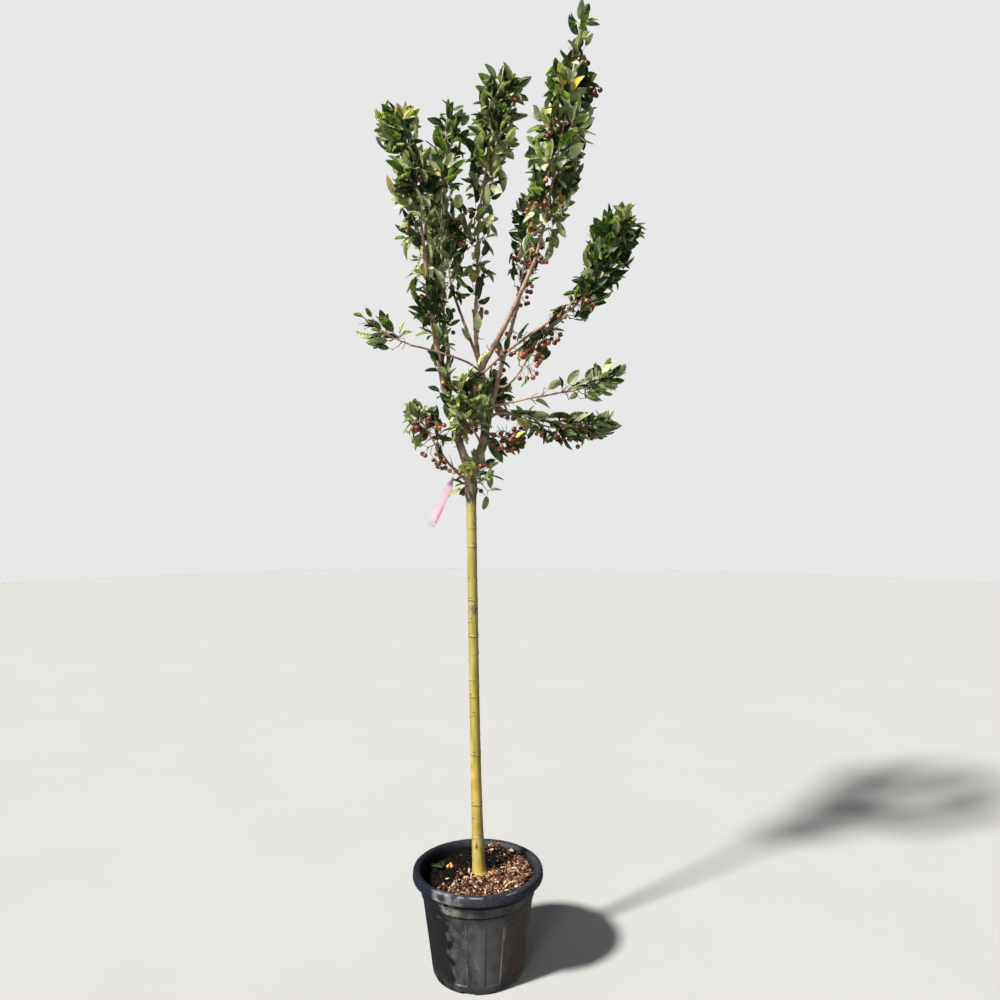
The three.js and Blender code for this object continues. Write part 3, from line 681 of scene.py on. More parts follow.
def tube_faces(rings, sides):
    """Sides of a tube, and the fans that close it on two poles that follow its rings of points."""
    ring, side = np.meshgrid(np.arange(rings - 1), np.arange(sides), indexing="ij")
    here, beside = ring * sides + side, ring * sides + (side + 1) % sides
    walls = np.stack([here, beside, beside + sides, here + sides], 2).reshape(-1, 4)
    low, high = rings * sides, rings * sides + 1
    k = np.arange(sides)
    last = (rings - 1) * sides
    foot_fan = np.stack([(k + 1) % sides, k, np.full(sides, low)], 1)
    tip_fan = np.stack([last + k, last + (k + 1) % sides, np.full(sides, high)], 1)
    return walls, np.concatenate([foot_fan, tip_fan])


def note(piece, name, values):
    """Keeps a number for each point of the piece, which its finish reads."""
    kept = piece.data.attributes.new(name, "FLOAT", "POINT")
    kept.data.foreach_set("value", np.asarray(values, np.float32))


def hump(distance, wide, power=2):
    """1 at no distance, and fading away over that width."""
    return np.exp(-(distance / wide) ** power)


def grit(points, grains):
    """Soft noise at each point, with that many grains to the metre."""
    values = [noise.noise(Vector(point) * grains) for point in points.reshape(-1, 3)]
    return np.array(values).reshape(points.shape[:-1])


def stem_bark():
    finish = Finish("stem_bark", Specular_IOR_Level=0.35)
    place = finish.place
    level = place.axis("Z")
    scar, pale, rough = (finish.attribute(name) for name in ("scar", "pale", "rough"))
    long_streak = place.grain(55, detail=3, stretch=(1, 1, 0.14))
    mottle = place.grain(30, detail=3)
    fine = place.grain(480)
    foot = (1 - level.step(0.298, 0.330)) * mottle.step(0.25, 0.55)
    dust = (1 - level.step(0.42, 0.52)) * mottle.step(0.35, 0.65) * 0.5
    corky = (fine * 0.5 + long_streak * 0.5).step(0.35, 0.65)
    bud_scar = place.patch((-0.004, -0.021, 0.379), (0.0056, 0.008, 0.0058))
    bud_scar = bud_scar + place.patch((-0.004, -0.021, 0.385), (0.0036, 0.008, 0.0075))
    yellow = mottle.step(0.35, 0.68).blend((0.34, 0.255, 0.042), (0.45, 0.325, 0.080))
    yellow = yellow.under((level.step(0.5, 0.95) * 0.65, (0.27, 0.265, 0.085)))
    shade = long_streak.step(0.45, 0.62).blend(yellow, (0.255, 0.215, 0.028)).under(
        (foot, (0.48, 0.36, 0.03)),
        (dust, (0.37, 0.33, 0.18)),
        (pale * 0.35, (0.46, 0.37, 0.22)),
        (scar * (0.65 + fine * 0.35), (0.065, 0.038, 0.018)),
        (fine.step(0.66, 0.74) * 0.5, (0.17, 0.11, 0.035)),
        (rough, corky.blend((0.060, 0.040, 0.028), (0.36, 0.26, 0.19))),
        (bud_scar.step(0.1, 0.9) * 0.9, (0.045, 0.024, 0.012)),
    )
    finish.feed(Base_Color=shade, Roughness=0.42 + rough * 0.35 + fine * 0.12)
    finish.relief(long_streak * 0.4 + fine * 0.35 + rough * corky, 0.0012)
    return finish.material


trunk_line, trunk_length = evenly(TRUNK, TRUNK_FOOT, TRUNK_RINGS)
height = trunk_line[:, 2] - TRUNK_FOOT[2]
knot = np.clip(np.searchsorted(GIRTH_LEVELS, height, side="left"), 1, len(GIRTH_LEVELS) - 1)
low_level, high_level = np.take(GIRTH_LEVELS, knot - 1), np.take(GIRTH_LEVELS, knot)
part = eased((height - low_level) / (high_level - low_level))
girth = np.take(GIRTH_RADII, knot - 1) * (1 - part) + np.take(GIRTH_RADII, knot) * part
girth = girth * np.sqrt(np.clip((trunk_length - height) / TIP_ROUND, 0.02, 1))
draw = np.random.default_rng(8)
plain = hoops(trunk_line, girth, TRUNK_SIDES)
outward = plain - trunk_line[:, None]
azimuth = np.arctan2(outward[..., 1], outward[..., 0])


def turned_from(angle):
    """How far each point of the stem stands round from a heading, in radians."""
    return (azimuth - angle + math.pi) % (2 * math.pi) - math.pi


marks = {name: np.zeros_like(azimuth) for name in ("swell", "scar", "pale")}
ring = FIRST_RING
while ring < LAST_RING:
    strength, heading = draw.uniform(0.35, 1.0), draw.uniform(0, 2 * math.pi)
    above = height[:, None] - ring
    tilted = above - 0.0020 * np.sin(azimuth + heading) - 0.0008 * np.sin(3 * azimuth + ring * 90)
    arc = np.clip(1.4 - np.abs(turned_from(heading + 0.9)) / draw.uniform(1.2, 2.6), 0, 1)
    marks["swell"] += RING_HEIGHT * strength * hump(tilted, RING_WIDTH) * (0.4 + 0.6 * arc)
    for name, strongly, at, wide in RING_MARKS:
        marks[name] += strongly * strength * hump(tilted - at, wide) * arc
    for side in (0, draw.uniform(1.5, 4)):
        near_bud = hump(turned_from(heading + side), BUD_WIDTH)
        marks["swell"] += BUD_HEIGHT * strength * near_bud * hump(above - BUD_LEVEL, BUD_LENGTH)
        for name, strongly, at, wide in BUD_MARKS:
            marks[name] += strongly * near_bud * hump(above - at, wide)
    ring += draw.uniform(*RING_STEP) * (0.5 if draw.random() < 0.25 else 1)
coarse, fine = (grit(plain, grains) for grains in STEM_GRAINS)
graft_edge = GRAFT_LEVEL + GRAFT_UNEVEN * coarse - GRAFT_SLANT * np.cos(turned_from(GRAFT_HEADING))
graft = np.clip((height[:, None] - graft_edge) / GRAFT_FADE, 0, 1)
from_scar = height[:, None] - SCAR_LEVEL
pruned = hump(from_scar, SCAR_HALF * 0.7, power=4)
pruned = pruned * np.clip(1.5 - np.abs(turned_from(SCAR_HEADING)) / 1.1, 0, 1)
pruned = pruned * np.clip(0.75 + coarse * 1.6, 0, 1)
crease = sum(hump(from_scar - level - wavy * coarse, wide) for level, wavy, wide in CREASES)
marks["scar"] += 1.4 * pruned * crease
marks["swell"] += 0.00025 * coarse + graft * (0.0012 * coarse + 0.0007 * fine)
marks["swell"] += pruned * (0.0008 + 0.0010 * fine - 0.0012 * np.clip(crease, 0, 1))
marks["rough"] = np.maximum(graft, pruned * 0.85)
slender = np.minimum(girth / 0.01, 1)[:, None]
rings = hoops(trunk_line, girth[:, None] + marks["swell"] * slender, TRUNK_SIDES)
points = np.concatenate([rings.reshape(-1, 3), trunk_line[:1], trunk_line[-1:]])
trunk = new_piece("stem", points, tube_faces(len(trunk_line), TRUNK_SIDES), [stem_bark()])
for name in ("scar", "pale", "rough"):
    note(trunk, name, np.concatenate([np.clip(marks[name], 0, 1).ravel(), [0, 1]]))
bpy.ops.object.shade_smooth()
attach(trunk, "root")
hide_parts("trunk")


# Boughs
# Seventeen limbs of warm brown bark leave the graft and each other. Each tapers evenly, thickens where it
# joins, and swells a little at its old buds.

BOUGHS = {
    # on, at | heading, reach, rise, curl, bow, arch | thickness at foot and tip
    "left_front": ("trunk", 0.985, 210.3, 0.140, 0.527, 0.93, -0.022, -0.019, 0.027, 0.0135),
    "right_main": ("trunk", 0.985, 13, 0.046, 0.115, 1.07, 0, -0.002, 0.030, 0.026),
    "centre": ("right_main", 0.95, 183, 0.012, 0.223, 1.33, -0.004, 0.029, 0.023, 0.020),
    "left_inner": ("left_front", 0.52, 102.5, 0.045, 0.234, 1.16, -0.013, -0.0255, 0.014, 0.011),
    "right_inner": ("right_main", 0.94, 44, 0.153, 0.461, 1.08, -0.0025, 0.014, 0.018, 0.009),
    "right_leader": ("centre", 0.96, 337, 0.175, 0.311, 1.14, -0.001, -0.029, 0.017, 0.0115),
    "centre_leader": ("centre", 0.96, 104, 0.0575, 0.277, 1.15, 0.011, -0.026, 0.014, 0.0105),
    "left_back": ("centre", 0.9, 131.5, 0.147, 0.284, 1.15, -0.001, -0.0115, 0.010, 0.008),
    "left_reach": ("centre", 0.84, 206, 0.2335, 0.072, 1.49, 0.0225, 0.003, 0.007, 0.0055),
    "right_front": ("left_front", 0.33, 339, 0.332, 0.302, 1.61, -0.0225, -0.003, 0.009, 0.0065),
    "right_knot": ("right_inner", 0.35, 326, 0.0835, 0.0335, 1, -0.006, -0.020, 0.0075, 0.006),
    "right_high": ("centre", 0.3, 336.5, 0.242, 0.042, 1.75, -0.021, -0.0055, 0.008, 0.006),
    "right_low": ("right_inner", 0.14, 37, 0.074, 0.019, 1, 0.003, 0.007, 0.009, 0.0075),
    "left_low": ("trunk", 0.965, 200.5, 0.099, 0.094, 0.97, -0.004, -0.008, 0.0085, 0.0065),
    "front_spray": ("right_main", 0.75, 239.5, 0.061, 0.057, 1, 0.005, 0.0015, 0.008, 0.006),
    "low_cluster": ("right_inner", 0.04, 322, 0.0525, -0.012, 1, -0.002, 0.005, 0.007, 0.0055),
    "back_low": ("centre", 0.12, 80, 0.0955, 0.073, 1, 0.001, -0.0075, 0.009, 0.007),
}
BOUGH_STEP = 0.0032
COLLAR_SWELL, COLLAR_RUN = 0.42, 1.5
BUD_STEP, BUD_SWELL, BUD_RUN = (0.028, 0.05), 0.09, 0.0045
BUD_SCAR_RUN = 0.0014
BUD_BEND, BUD_BEND_RUN = 0.0009, 0.012
BARK_DENT = 0.07
STOUT, STOUT_SIDES, SLIM_SIDES = 0.012, 24, 14


def limb_named(values):
    names = ("heading", "reach", "rise", "curl", "bow", "arch")
    return dict(zip(names, values))


def bough_bark():
    finish = Finish("bough_bark", Specular_IOR_Level=0.3)
    place = finish.place
    cloud = place.grain(26, detail=3)
    fine = place.grain(420, detail=3)
    dashes = place.grain(260, detail=1, stretch=(1, 1, 2.6)).step(0.66, 0.72)
    low = cloud.step(0.3, 0.7).blend((0.120, 0.080, 0.058), (0.40, 0.29, 0.22))
    high = cloud.step(0.3, 0.7).blend((0.160, 0.095, 0.065), (0.40, 0.25, 0.17))
    shade = place.axis("Z").step(1.6, 1.95).blend(low, high).under(
        (fine.step(0.5, 0.75) * 0.5, (0.44, 0.33, 0.25)),
        (dashes * 0.7, (0.42, 0.33, 0.24)),
        (finish.attribute("bud") * 0.7, (0.09, 0.05, 0.035)),
    )
    finish.feed(Base_Color=shade, Roughness=0.5 + fine * 0.3)
    finish.relief(fine * 0.6 + dashes * 0.6 + cloud * 0.2, 0.001)
    return finish.material


def grown_limb(limb, foot, thick, parent_radius, step, sides, seed):
    """The points and faces of a limb's bark, and where its bud scars are."""
    line, length = evenly(limb, foot, max(4, int(limb_length(limb) / step)))
    run = np.linspace(0, length, len(line))
    draw = np.random.default_rng(seed)
    radii = np.interp(run / length, [0, 1], thick) / 2
    radii = radii * (1 + COLLAR_SWELL * hump(run, COLLAR_RUN * parent_radius))
    scars = np.zeros(len(line))
    mark = parent_radius * 2 + draw.uniform(0.005, 0.03)
    while mark < length - 0.01:
        radii = radii * (1 + BUD_SWELL * hump(run - mark, BUD_RUN))
        scars += hump(run - mark, BUD_SCAR_RUN) * draw.uniform(0.4, 1)
        line = line + unit(draw.normal(0, 1, 3)) * BUD_BEND * hump(run - mark, BUD_BEND_RUN)[:, None]
        mark += draw.uniform(*BUD_STEP)
    rings = hoops(line, radii, sides)
    dent = grit(rings, 130) + 0.5 * grit(rings, 420)
    rings = hoops(line, radii[:, None] * (1 + BARK_DENT * dent), sides)
    points = np.concatenate([rings.reshape(-1, 3), line[:1], line[-1:]])
    return points, tube_faces(len(line), sides), np.concatenate([np.repeat(scars, sides), [0, 0]])


def limb_length(limb):
    return evenly(limb, np.zeros(3), 1)[1]


bark = bough_bark()
limbs = {  # a limb's growth, its foot, and its radius at a share of it
    "trunk": (TRUNK, TRUNK_FOOT, lambda share: np.interp(share * TRUNK["rise"], GIRTH_LEVELS, GIRTH_RADII)),
}
for seed, (name, (on, at, *growth, thick_foot, thick_tip)) in enumerate(BOUGHS.items()):
    parent, parent_foot, parent_radius = limbs[on]
    limb = limb_named(growth)
    foot = line_of(parent, parent_foot, at)[0]
    sides = STOUT_SIDES if thick_foot > STOUT else SLIM_SIDES
    thick = (thick_foot, thick_tip)
    points, faces, scars = grown_limb(limb, foot, thick, float(parent_radius(at)), BOUGH_STEP, sides, seed)
    bough = new_piece("bough_bark_" + name, points, faces, [bark])
    note(bough, "bud", np.clip(scars, 0, 1))
    bpy.ops.object.shade_smooth()
    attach(bough, "root")
    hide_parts("bough_" + name)
    limbs[name] = (limb, foot, lambda share, a=thick_foot, b=thick_tip: (a + (b - a) * share) / 2)


# Twigs
# Most boughs run on as thin stems. Short spurs stand round these and along the boughs, and fork into finer
# twigs, all brown.

MASSES = {
    # on, at | heading, reach, rise, curl, bow, arch | thickness at foot, tip | spurs, crowding, seed
    "left_front": ("left_front", 0.985, 213.5, 0.112, 0.4875, 0.91, 0.019, 0.0865, 0.0115, 0.004, 10, 1, 11),
    "left_inner": ("left_inner", 0.98, 64, 0.037, 0.632, 0.95, 0.018, 0.032, 0.009, 0.0035, 9, 1, 12),
    "left_back": ("left_back", 0.985, 117, 0.098, 0.462, 0.7, -0.0005, -0.018, 0.0065, 0.0035, 8, 1, 13),
    "centre": ("centre_leader", 0.98, 22, 0.0915, 0.6345, 1.61, 0.024, 0.0165, 0.0085, 0.0035, 11, 0.7, 14),
    "right_leader": (
        "right_leader", 0.985, 349.5, 0.1505, 0.7145, 0.82, -0.0195, 0.002, 0.0095, 0.003, 16, 1, 15),
    "right_inner": ("right_inner", 0.985, 61.5, 0.0815, 0.306, 1, 0, -0.0035, 0.0075, 0.004, 7, 1, 16),
    "right_front": (
        "right_front", 0.985, 350.5, 0.1805, 0.2435, 0.68, -0.0015, -0.0235, 0.0055, 0.003, 13, 1, 17),
    "left_reach": ("left_reach", 0.98, 189, 0.132, 0.0695, 1.08, 0.0015, -0.0095, 0.0046, 0.003, 4, 1, 18),
    "right_high": ("right_high", 0.98, 350.5, 0.162, 0.0425, 1, -0.003, -0.0085, 0.005, 0.003, 5, 1, 19),
    "right_low": ("right_low", 0.96, 15, 0.3355, -0.022, 0.84, 0.019, -0.032, 0.0064, 0.003, 10, 1, 20),
    "right_knot": ("right_knot", 0.96, 324, 0.113, 0.113, 1, 0.0015, 0.0065, 0.005, 0.003, 5, 1, 21),
    "left_low": ("left_low", 0.96, 196.5, 0.0865, 0.1295, 0.85, 0.002, 0.0115, 0.0055, 0.003, 6, 1, 22),
    "front": ("front_spray", 0.95, 251, 0.031, 0.1075, 0.9, -0.004, -0.0225, 0.005, 0.003, 9, 1, 23),
    "low_cluster": ("low_cluster", 0.94, 332.5, 0.0575, -0.0125, 1, -0.001, 0.0005, 0.0046, 0.003, 6, 1, 24),
    "back_low": ("back_low", 0.96, 82.5, 0.0995, 0.0815, 1, 0, 0.0015, 0.006, 0.003, 5, 1, 25),
    "union": ("trunk", 0.95, 330, 0.034, 0.062, 0.8, 0, 0, 0.005, 0.003, 3, 1, 26),
}
BOUGH_SPURS = {
    # number, seed | the same filling along a bough itself
    "left_front": (
        16, 31, (50, 54, 58, 62, 66, 74), (0, 0.15, 0.5, 0.7, 0.9, 1), (0, 0.2, 0.5, 0.5, 0.4, 0.4), 0.1),
    "left_inner": (
        8, 32, (36, 38, 40, 42, 46, 52), (0, 0.1, 0.2, 0.3, 0.4, 0.5), (0, 0.2, 0.3, 0.3, 0.3, 0.3), 0.2),
    "centre_leader": (
        9, 33, (36, 36, 46, 56, 60, 60), (0, 0.05, 0.3, 0.55, 0.65, 0.7), (0, 0.1, 0.2, 0.4, 0.6, 0.7), 0.3),
    "right_leader": (
        9, 34, (40, 40, 40, 44, 50, 54), (0, 0, 0.05, 0.15, 0.25, 0.3), (0, 0, 0.1, 0.3, 0.6, 0.8), 0.4),
    "right_inner": (
        10, 35, (50, 50, 46, 44, 44, 44),
        (0.3, 0.35, 0.2, 0.15, 0.2, 0.25), (0.3, 0.4, 0.2, 0, 0.2, 0.3), 0.5),
    "right_front": (
        18, 36, (40, 40, 42, 46, 50, 56), (0, 0.1, 0.2, 0.3, 0.5, 0.6), (0, 0.1, 0.1, 0.5, 0.6, 0.3), 0.3),
    "right_high": (
        8, 37, (36, 40, 44, 46, 50, 56), (0.1, 0.1, 0.1, 0.2, 0.4, 0.4), (0.1, 0.2, 0.1, 0.1, 0.1, 0.1), 0.5),
    "right_low": (
        5, 38, (44, 50, 54, 54, 54, 54), (0.3, 0.5, 0.5, 0.5, 0.6, 0.6), (0.3, 0.3, 0.3, 0.3, 0.3, 0.3), 0.4),
    "left_low": (
        7, 39, (34, 38, 40, 46, 52, 56), (0, 0.1, 0.2, 0.4, 0.5, 0.5), (0, 0, 0.1, 0.3, 0.6, 0.8), 0.4),
    "centre": (
        6, 40, (50, 50, 50, 46, 40, 40), (0.2, 0.3, 0.3, 0.1, 0, 0), (0.6, 0.6, 0.6, 0.3, 0.1, 0), 0.6),
}
FILLING = {
    # from foot to tip: radius in mm that the leaves keep to, how full of leaves, and of fruit | lightness
    "left_front": ((86, 82, 92, 84, 60, 84), (0.7, 1, 1, 1, 0.8, 1), (0.3, 0.3, 0.15, 0.05, 0, 0), 0.95),
    "left_inner": ((60, 72, 80, 78, 88, 68), (0.5, 1, 1, 1, 0.9, 1), (0.3, 0.2, 0.1, 0.1, 0, 0), 0.22),
    "left_back": ((68, 74, 76, 74, 68, 60), (1, 1, 1, 1, 0.9, 0.6), (0.1, 0.1, 0.1, 0, 0, 0), 0.15),
    "centre": ((58, 70, 74, 80, 88, 96), (0.7, 0.95, 1, 0.95, 0.85, 1), (0.5, 0.8, 0.6, 0.3, 0.2, 0.1), 1.25),
    "right_leader": (
        (60, 72, 84, 92, 106, 112, 112, 100, 64, 52, 54), (0.05, 0.4, 0.75, 0.9, 1, 1, 1, 0.95, 0.65, 0.5, 1),
        (0.4, 0.6, 0.8, 0.8, 0.7, 0.4, 0.5, 0.4, 0.3, 0, 0), 0.62),
    "right_inner": ((50, 56, 58, 64, 76, 84), (0.2, 0.3, 0.4, 0.5, 0.9, 1), (0.5, 0.9, 1, 1, 0.5, 0.2), 0.5),
    "right_front": ((36, 60, 66, 74, 90, 84), (0.4, 1, 1, 1, 1, 1), (0.1, 0.2, 0.3, 0.1, 0, 0), 0),
    "left_reach": ((50, 60, 64, 64, 62, 60), (0.4, 0.4, 0.5, 0.4, 0.5, 0.7), (0, 0, 0, 0, 0.1, 0), 0.25),
    "right_high": ((50, 56, 58, 60, 62, 58), (0.3, 0.5, 0.6, 0.9, 1, 0.9), (0.1, 0.1, 0.1, 0, 0.1, 0), 1.3),
    "right_low": ((46, 60, 64, 68, 60, 52), (0.4, 0.7, 0.8, 0.8, 0.8, 1), (0.4, 0.4, 1, 1, 0.2, 0), 1.0),
    "right_knot": (
        (52, 54, 52, 48, 42, 38), (0.4, 0.6, 0.5, 0.3, 0.4, 0.6), (0.8, 0.8, 0.4, 0.4, 0.5, 0.4), 0.5),
    "left_low": ((66, 72, 74, 70, 60, 48), (0.5, 0.6, 0.7, 0.7, 0.8, 1), (0.5, 0.5, 0.5, 0.4, 0.2, 0.1), 0.4),
    "front": (
        (74, 84, 92, 92, 88, 82), (0.45, 0.5, 0.55, 0.55, 0.55, 0.6), (0.5, 0.5, 0.5, 0.5, 0.4, 0.2), 1.7),
    "low_cluster": (
        (56, 60, 62, 60, 56, 50), (0.4, 0.5, 0.5, 0.5, 0.6, 0.7), (0.7, 0.8, 0.8, 0.7, 0.5, 0.3), 0.1),
    "back_low": (
        (62, 70, 78, 80, 80, 80), (0.4, 0.5, 0.6, 0.6, 0.7, 0.9), (0.4, 0.4, 0.4, 0.4, 0.3, 0.2), 0.4),
    "union": ((76, 82, 84, 82, 76, 68), (1, 1, 1, 0.95, 0.9, 0.9), (0.4, 0.3, 0.3, 0.2, 0.2, 0.1), 1.6),
}
SPURS_FOR_ONE = 3
SPUR_SHORTEST, SPUR_LONGEST = 0.3, 0.55
SHORT_SPUR = (0.10, 0.40)
LEAN_LOW, LEAN_HIGH, LEAN_END = 92, 34, 6
# few spurs hide the front of a stem, except near its tip
FRONT_OPEN, FRONT_LUCK, FRONT_UP_TO = math.cos(math.radians(42)), 0.8, 0.85
SPUR_RADII, TWIG_RADII = (0.0016, 0.0011), (0.0012, 0.0008)
TWIGS_ON_SPUR = [(0.35, 48), (0.72, 42)]
TWIG_LENGTH, TWIG_CLEAR = (0.022, 0.040), 0.02
TWIG_SIDES, TWIG_SAG = 6, 0.03
MASS_SAMPLES = 41
GOLDEN_ANGLE = 137.508
UP = np.array([0.0, 0.0, 1.0])
STEM_STEP, STEM_SIDES = 0.006, 10


def seeded(seed):
    """Gives the same numbers on every run, from 0 to 1."""
    state = seed * 7919
    while True:
        state = state * 16807 % 2147483647
        yield state / 2147483647


def around(axis, degrees):
    """A unit vector square to the axis, turned about it."""
    flat = np.array([1.0, 0.0, 0.0]) if abs(axis[2]) > 0.9 else UP
    first = unit(np.cross(flat, axis))
    second = np.cross(axis, first)
    return first * math.cos(math.radians(degrees)) + second * math.sin(math.radians(degrees))


def leaning(axis, degrees, turn):
    return axis * math.cos(math.radians(degrees)) + around(axis, turn) * math.sin(math.radians(degrees))


def between(low, high, share):
    return low + (high - low) * share


def square_to(along):
    """For each unit vector, two that are square to it and to each other."""
    first = unit(np.cross(along, np.where(np.abs(along[:, 2:]) > 0.9, [[1.0, 0, 0]], UP)))
    return first, np.cross(along, first)


def rods(starts, ends, radii, sides, sag):
    """Many thin tapering rods, each bent a little at its middle, as points and faces."""
    starts, ends = np.asarray(starts), np.asarray(ends)
    length = np.linalg.norm(ends - starts, axis=1)[:, None]
    middles = (starts + ends) / 2 + UP * sag * length
    spoke = spokes(*square_to(unit(ends - starts)), sides)
    rings = [place[:, None] + spoke * between(*radii, share)
             for place, share in ((starts, 0), (middles, 0.5), (ends, 1))]
    points = np.concatenate(rings + [starts[:, None], ends[:, None]], 1)
    walls, fans = tube_faces(3, sides)
    copies, corners = len(starts), 3 * sides + 2
    return points.reshape(-1, 3), [repeated(walls, copies, corners), repeated(fans, copies, corners)]


def twig_bark():
    finish = Finish("twig_bark", Specular_IOR_Level=0.35)
    cloud = finish.place.grain(60)
    fine = finish.place.grain(700)
    shade = cloud.step(0.35, 0.65).blend((0.10, 0.05, 0.035), (0.22, 0.13, 0.075))
    shade = shade.under((fine.step(0.55, 0.7) * 0.5, (0.4, 0.3, 0.2)))
    finish.feed(Base_Color=shade, Roughness=0.45 + fine * 0.3)
    finish.relief(fine, 0.0005)
    return finish.material


class Mass:
    """One mass of the crown: the stem that it stands round, its spurs and the space that it keeps to."""

    def __init__(self, name, limb, foot, thick, spurs, crowd, seed, filling):
        self.name = name
        self.limb, self.foot, self.thick = limb, foot, thick
        self.space, self.leafy, self.fruity, self.lightness = filling
        self.seed = seed
        self.samples = line_of(limb, foot, np.linspace(0, 1, MASS_SAMPLES))
        self.reach = self.profile(self.space, np.linspace(0, 1, MASS_SAMPLES)) / 1000
        self.sprays = list(self.grown_sprays(spurs, crowd))

    @staticmethod
    def profile(values, share):
        return np.interp(share, np.linspace(0, 1, len(values)), values)

    def holds(self, point, slack=1.0):
        """Whether a point is within the mass's own space."""
        return bool((np.linalg.norm(self.samples - point, axis=1) < self.reach * slack).any())

    def grown_spurs(self, count, crowd):
        """Each spur turns about the stem by the golden angle and leans less towards its tip."""
        random = seeded(self.seed)
        for i in range(count):
            share = ((i + 1) / count) ** crowd
            start, ahead = line_of(self.limb, self.foot, [min(share, 0.996), min(1, share + 0.004)])
            along = unit(ahead - start)
            lean = LEAN_END if share == 1 else between(LEAN_LOW, LEAN_HIGH, share)
            heading = leaning(along, lean, i * GOLDEN_ANGLE + 40 * next(random))
            reach = float(self.profile(self.space, share)) / 1000
            limits = (SPUR_SHORTEST, SPUR_LONGEST) if (i + 1) % SPURS_FOR_ONE == 0 else SHORT_SPUR
            length = reach * between(*limits, next(random))
            across = unit(heading - along * np.dot(heading, along))
            hides_stem = -across[1] > FRONT_OPEN and share < FRONT_UP_TO
            if not (next(random) < FRONT_LUCK and hides_stem):
                yield line_of(self.limb, self.foot, share)[0], heading, length, share

    def grown_sprays(self, count, crowd):
        """The spurs and their side twigs: start, heading, length, share of the stem, and if it is a spur."""
        random = seeded(self.seed + 50)
        for start, heading, length, share in self.grown_spurs(count, crowd):
            yield start, heading, length, share, True
            for k, (part, lean) in enumerate(TWIGS_ON_SPUR):
                twig_heading = leaning(heading, lean, k * GOLDEN_ANGLE + 360 * next(random))
                twig_length = between(*TWIG_LENGTH, next(random))
                twig_start = start + heading * length * part
                if self.holds(twig_start + twig_heading * (twig_length + TWIG_CLEAR)):
                    yield twig_start, twig_heading, twig_length, share, False


masses = []
mass_feet = {}
for name, (on, at, *growth, thick_foot, thick_tip, spurs, crowd, seed) in MASSES.items():
    parent, parent_foot, parent_radius = limbs[on]
    mass_feet[name] = float(parent_radius(at))
    masses.append(Mass(name, limb_named(growth), line_of(parent, parent_foot, at)[0], (thick_foot, thick_tip),
                       spurs * SPURS_FOR_ONE, crowd, seed, FILLING[name]))
for name, (spurs, seed, *filling) in BOUGH_SPURS.items():
    bough_limb, bough_foot, bough_radius = limbs[name]
    ends = (2 * float(bough_radius(0)), 2 * float(bough_radius(1)))
    masses.append(Mass("bough_" + name, bough_limb, bough_foot, ends, spurs, 1, seed, filling))


def joined(parts):
    """The points and faces of several shapes as those of one."""
    starts = np.cumsum([0] + [len(points) for points, _ in parts])
    groups = zip(*[[group + start for group in faces] for (_, faces), start in zip(parts, starts)])
    return np.concatenate([points for points, _ in parts]), [np.concatenate(group) for group in groups]


stem_parts = [
    grown_limb(mass.limb, mass.foot, mass.thick, mass_feet[mass.name], STEM_STEP, STEM_SIDES, mass.seed)[:2]
    for mass in masses[:len(MASSES)]
]
stems = new_piece("stems", *joined(stem_parts), [bark])
bpy.ops.object.shade_smooth()
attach(stems, "root")
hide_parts(*("foliage_" + name for name in MASSES))

rod_sets = []
for wanted, radii in ((True, SPUR_RADII), (False, TWIG_RADII)):
    ends = [(start, start + heading * length) for mass in masses
            for start, heading, length, _, is_spur in mass.sprays if is_spur == wanted]
    rod_sets.append(rods(*zip(*ends), radii, TWIG_SIDES, TWIG_SAG))
twigs = new_piece("twigs", *joined(rod_sets), [twig_bark()])
bpy.ops.object.shade_smooth()
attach(twigs, "root")
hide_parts(*("foliage_" + name for name in MASSES))


# Leaves
# Pointed oval leaves, 52 to 80 mm long where there is room, stand on slim stalks in rosettes at the ends of
# the twigs and along them. They are glossy above and dull below. A few have turned yellow. Those inside a
# mass are painted near black as shade, and those at its outside are painted lighter as lit.

LEAF_LENGTH = (0.052, 0.080)
LEAF_WIDTH = (0.40, 0.50)  # of its length
STALK_LENGTH, STALK_RADII = (0.014, 0.024), (0.000845, 0.00065)
STALK_SIDES, STALK_SAG, STALK_INTO_LEAF = 4, -0.04, 0.002
LEAF_THICKNESS = 0.0007
LEAF_STATIONS = np.array([0.07, 0.2, 0.36, 0.54, 0.72, 0.88])
LEAVES_ON_SPRAY = [(1.0, 14), (0.97, 50), (0.9, 56), (0.78, 60), (0.6, 62), (0.42, 64)]  # at, lean from it
LEAVES_ON_TWIG = 4
LEAF_DROOP, DROOP_FROM = 0.25, 20  # for those that lean out by more degrees
LEAF_UP, LEAF_OUT, LEAF_WILD = 0.55, 0.8, 1.3
LEAF_BASE, LEAF_TIP = 0.62, 0.8  # the smaller, the rounder
LEAF_FOLD, LEAF_CURL, LEAF_WAVE, LEAF_TWIST = (0.25, 0.75), (-0.02, 0.22), (0.0, 0.05), (-0.5, 0.5)
LEAF_GLOW = {"Subsurface_Weight": 0.3, "Subsurface_Radius": (0.7, 1.0, 0.2), "Subsurface_Scale": 0.006}
LEAF_TRIES = (1, 0.88, 0.76, 0.64)
LEAFY_REACH = 0.080  # from the middle line of a mass out to its lightest leaves
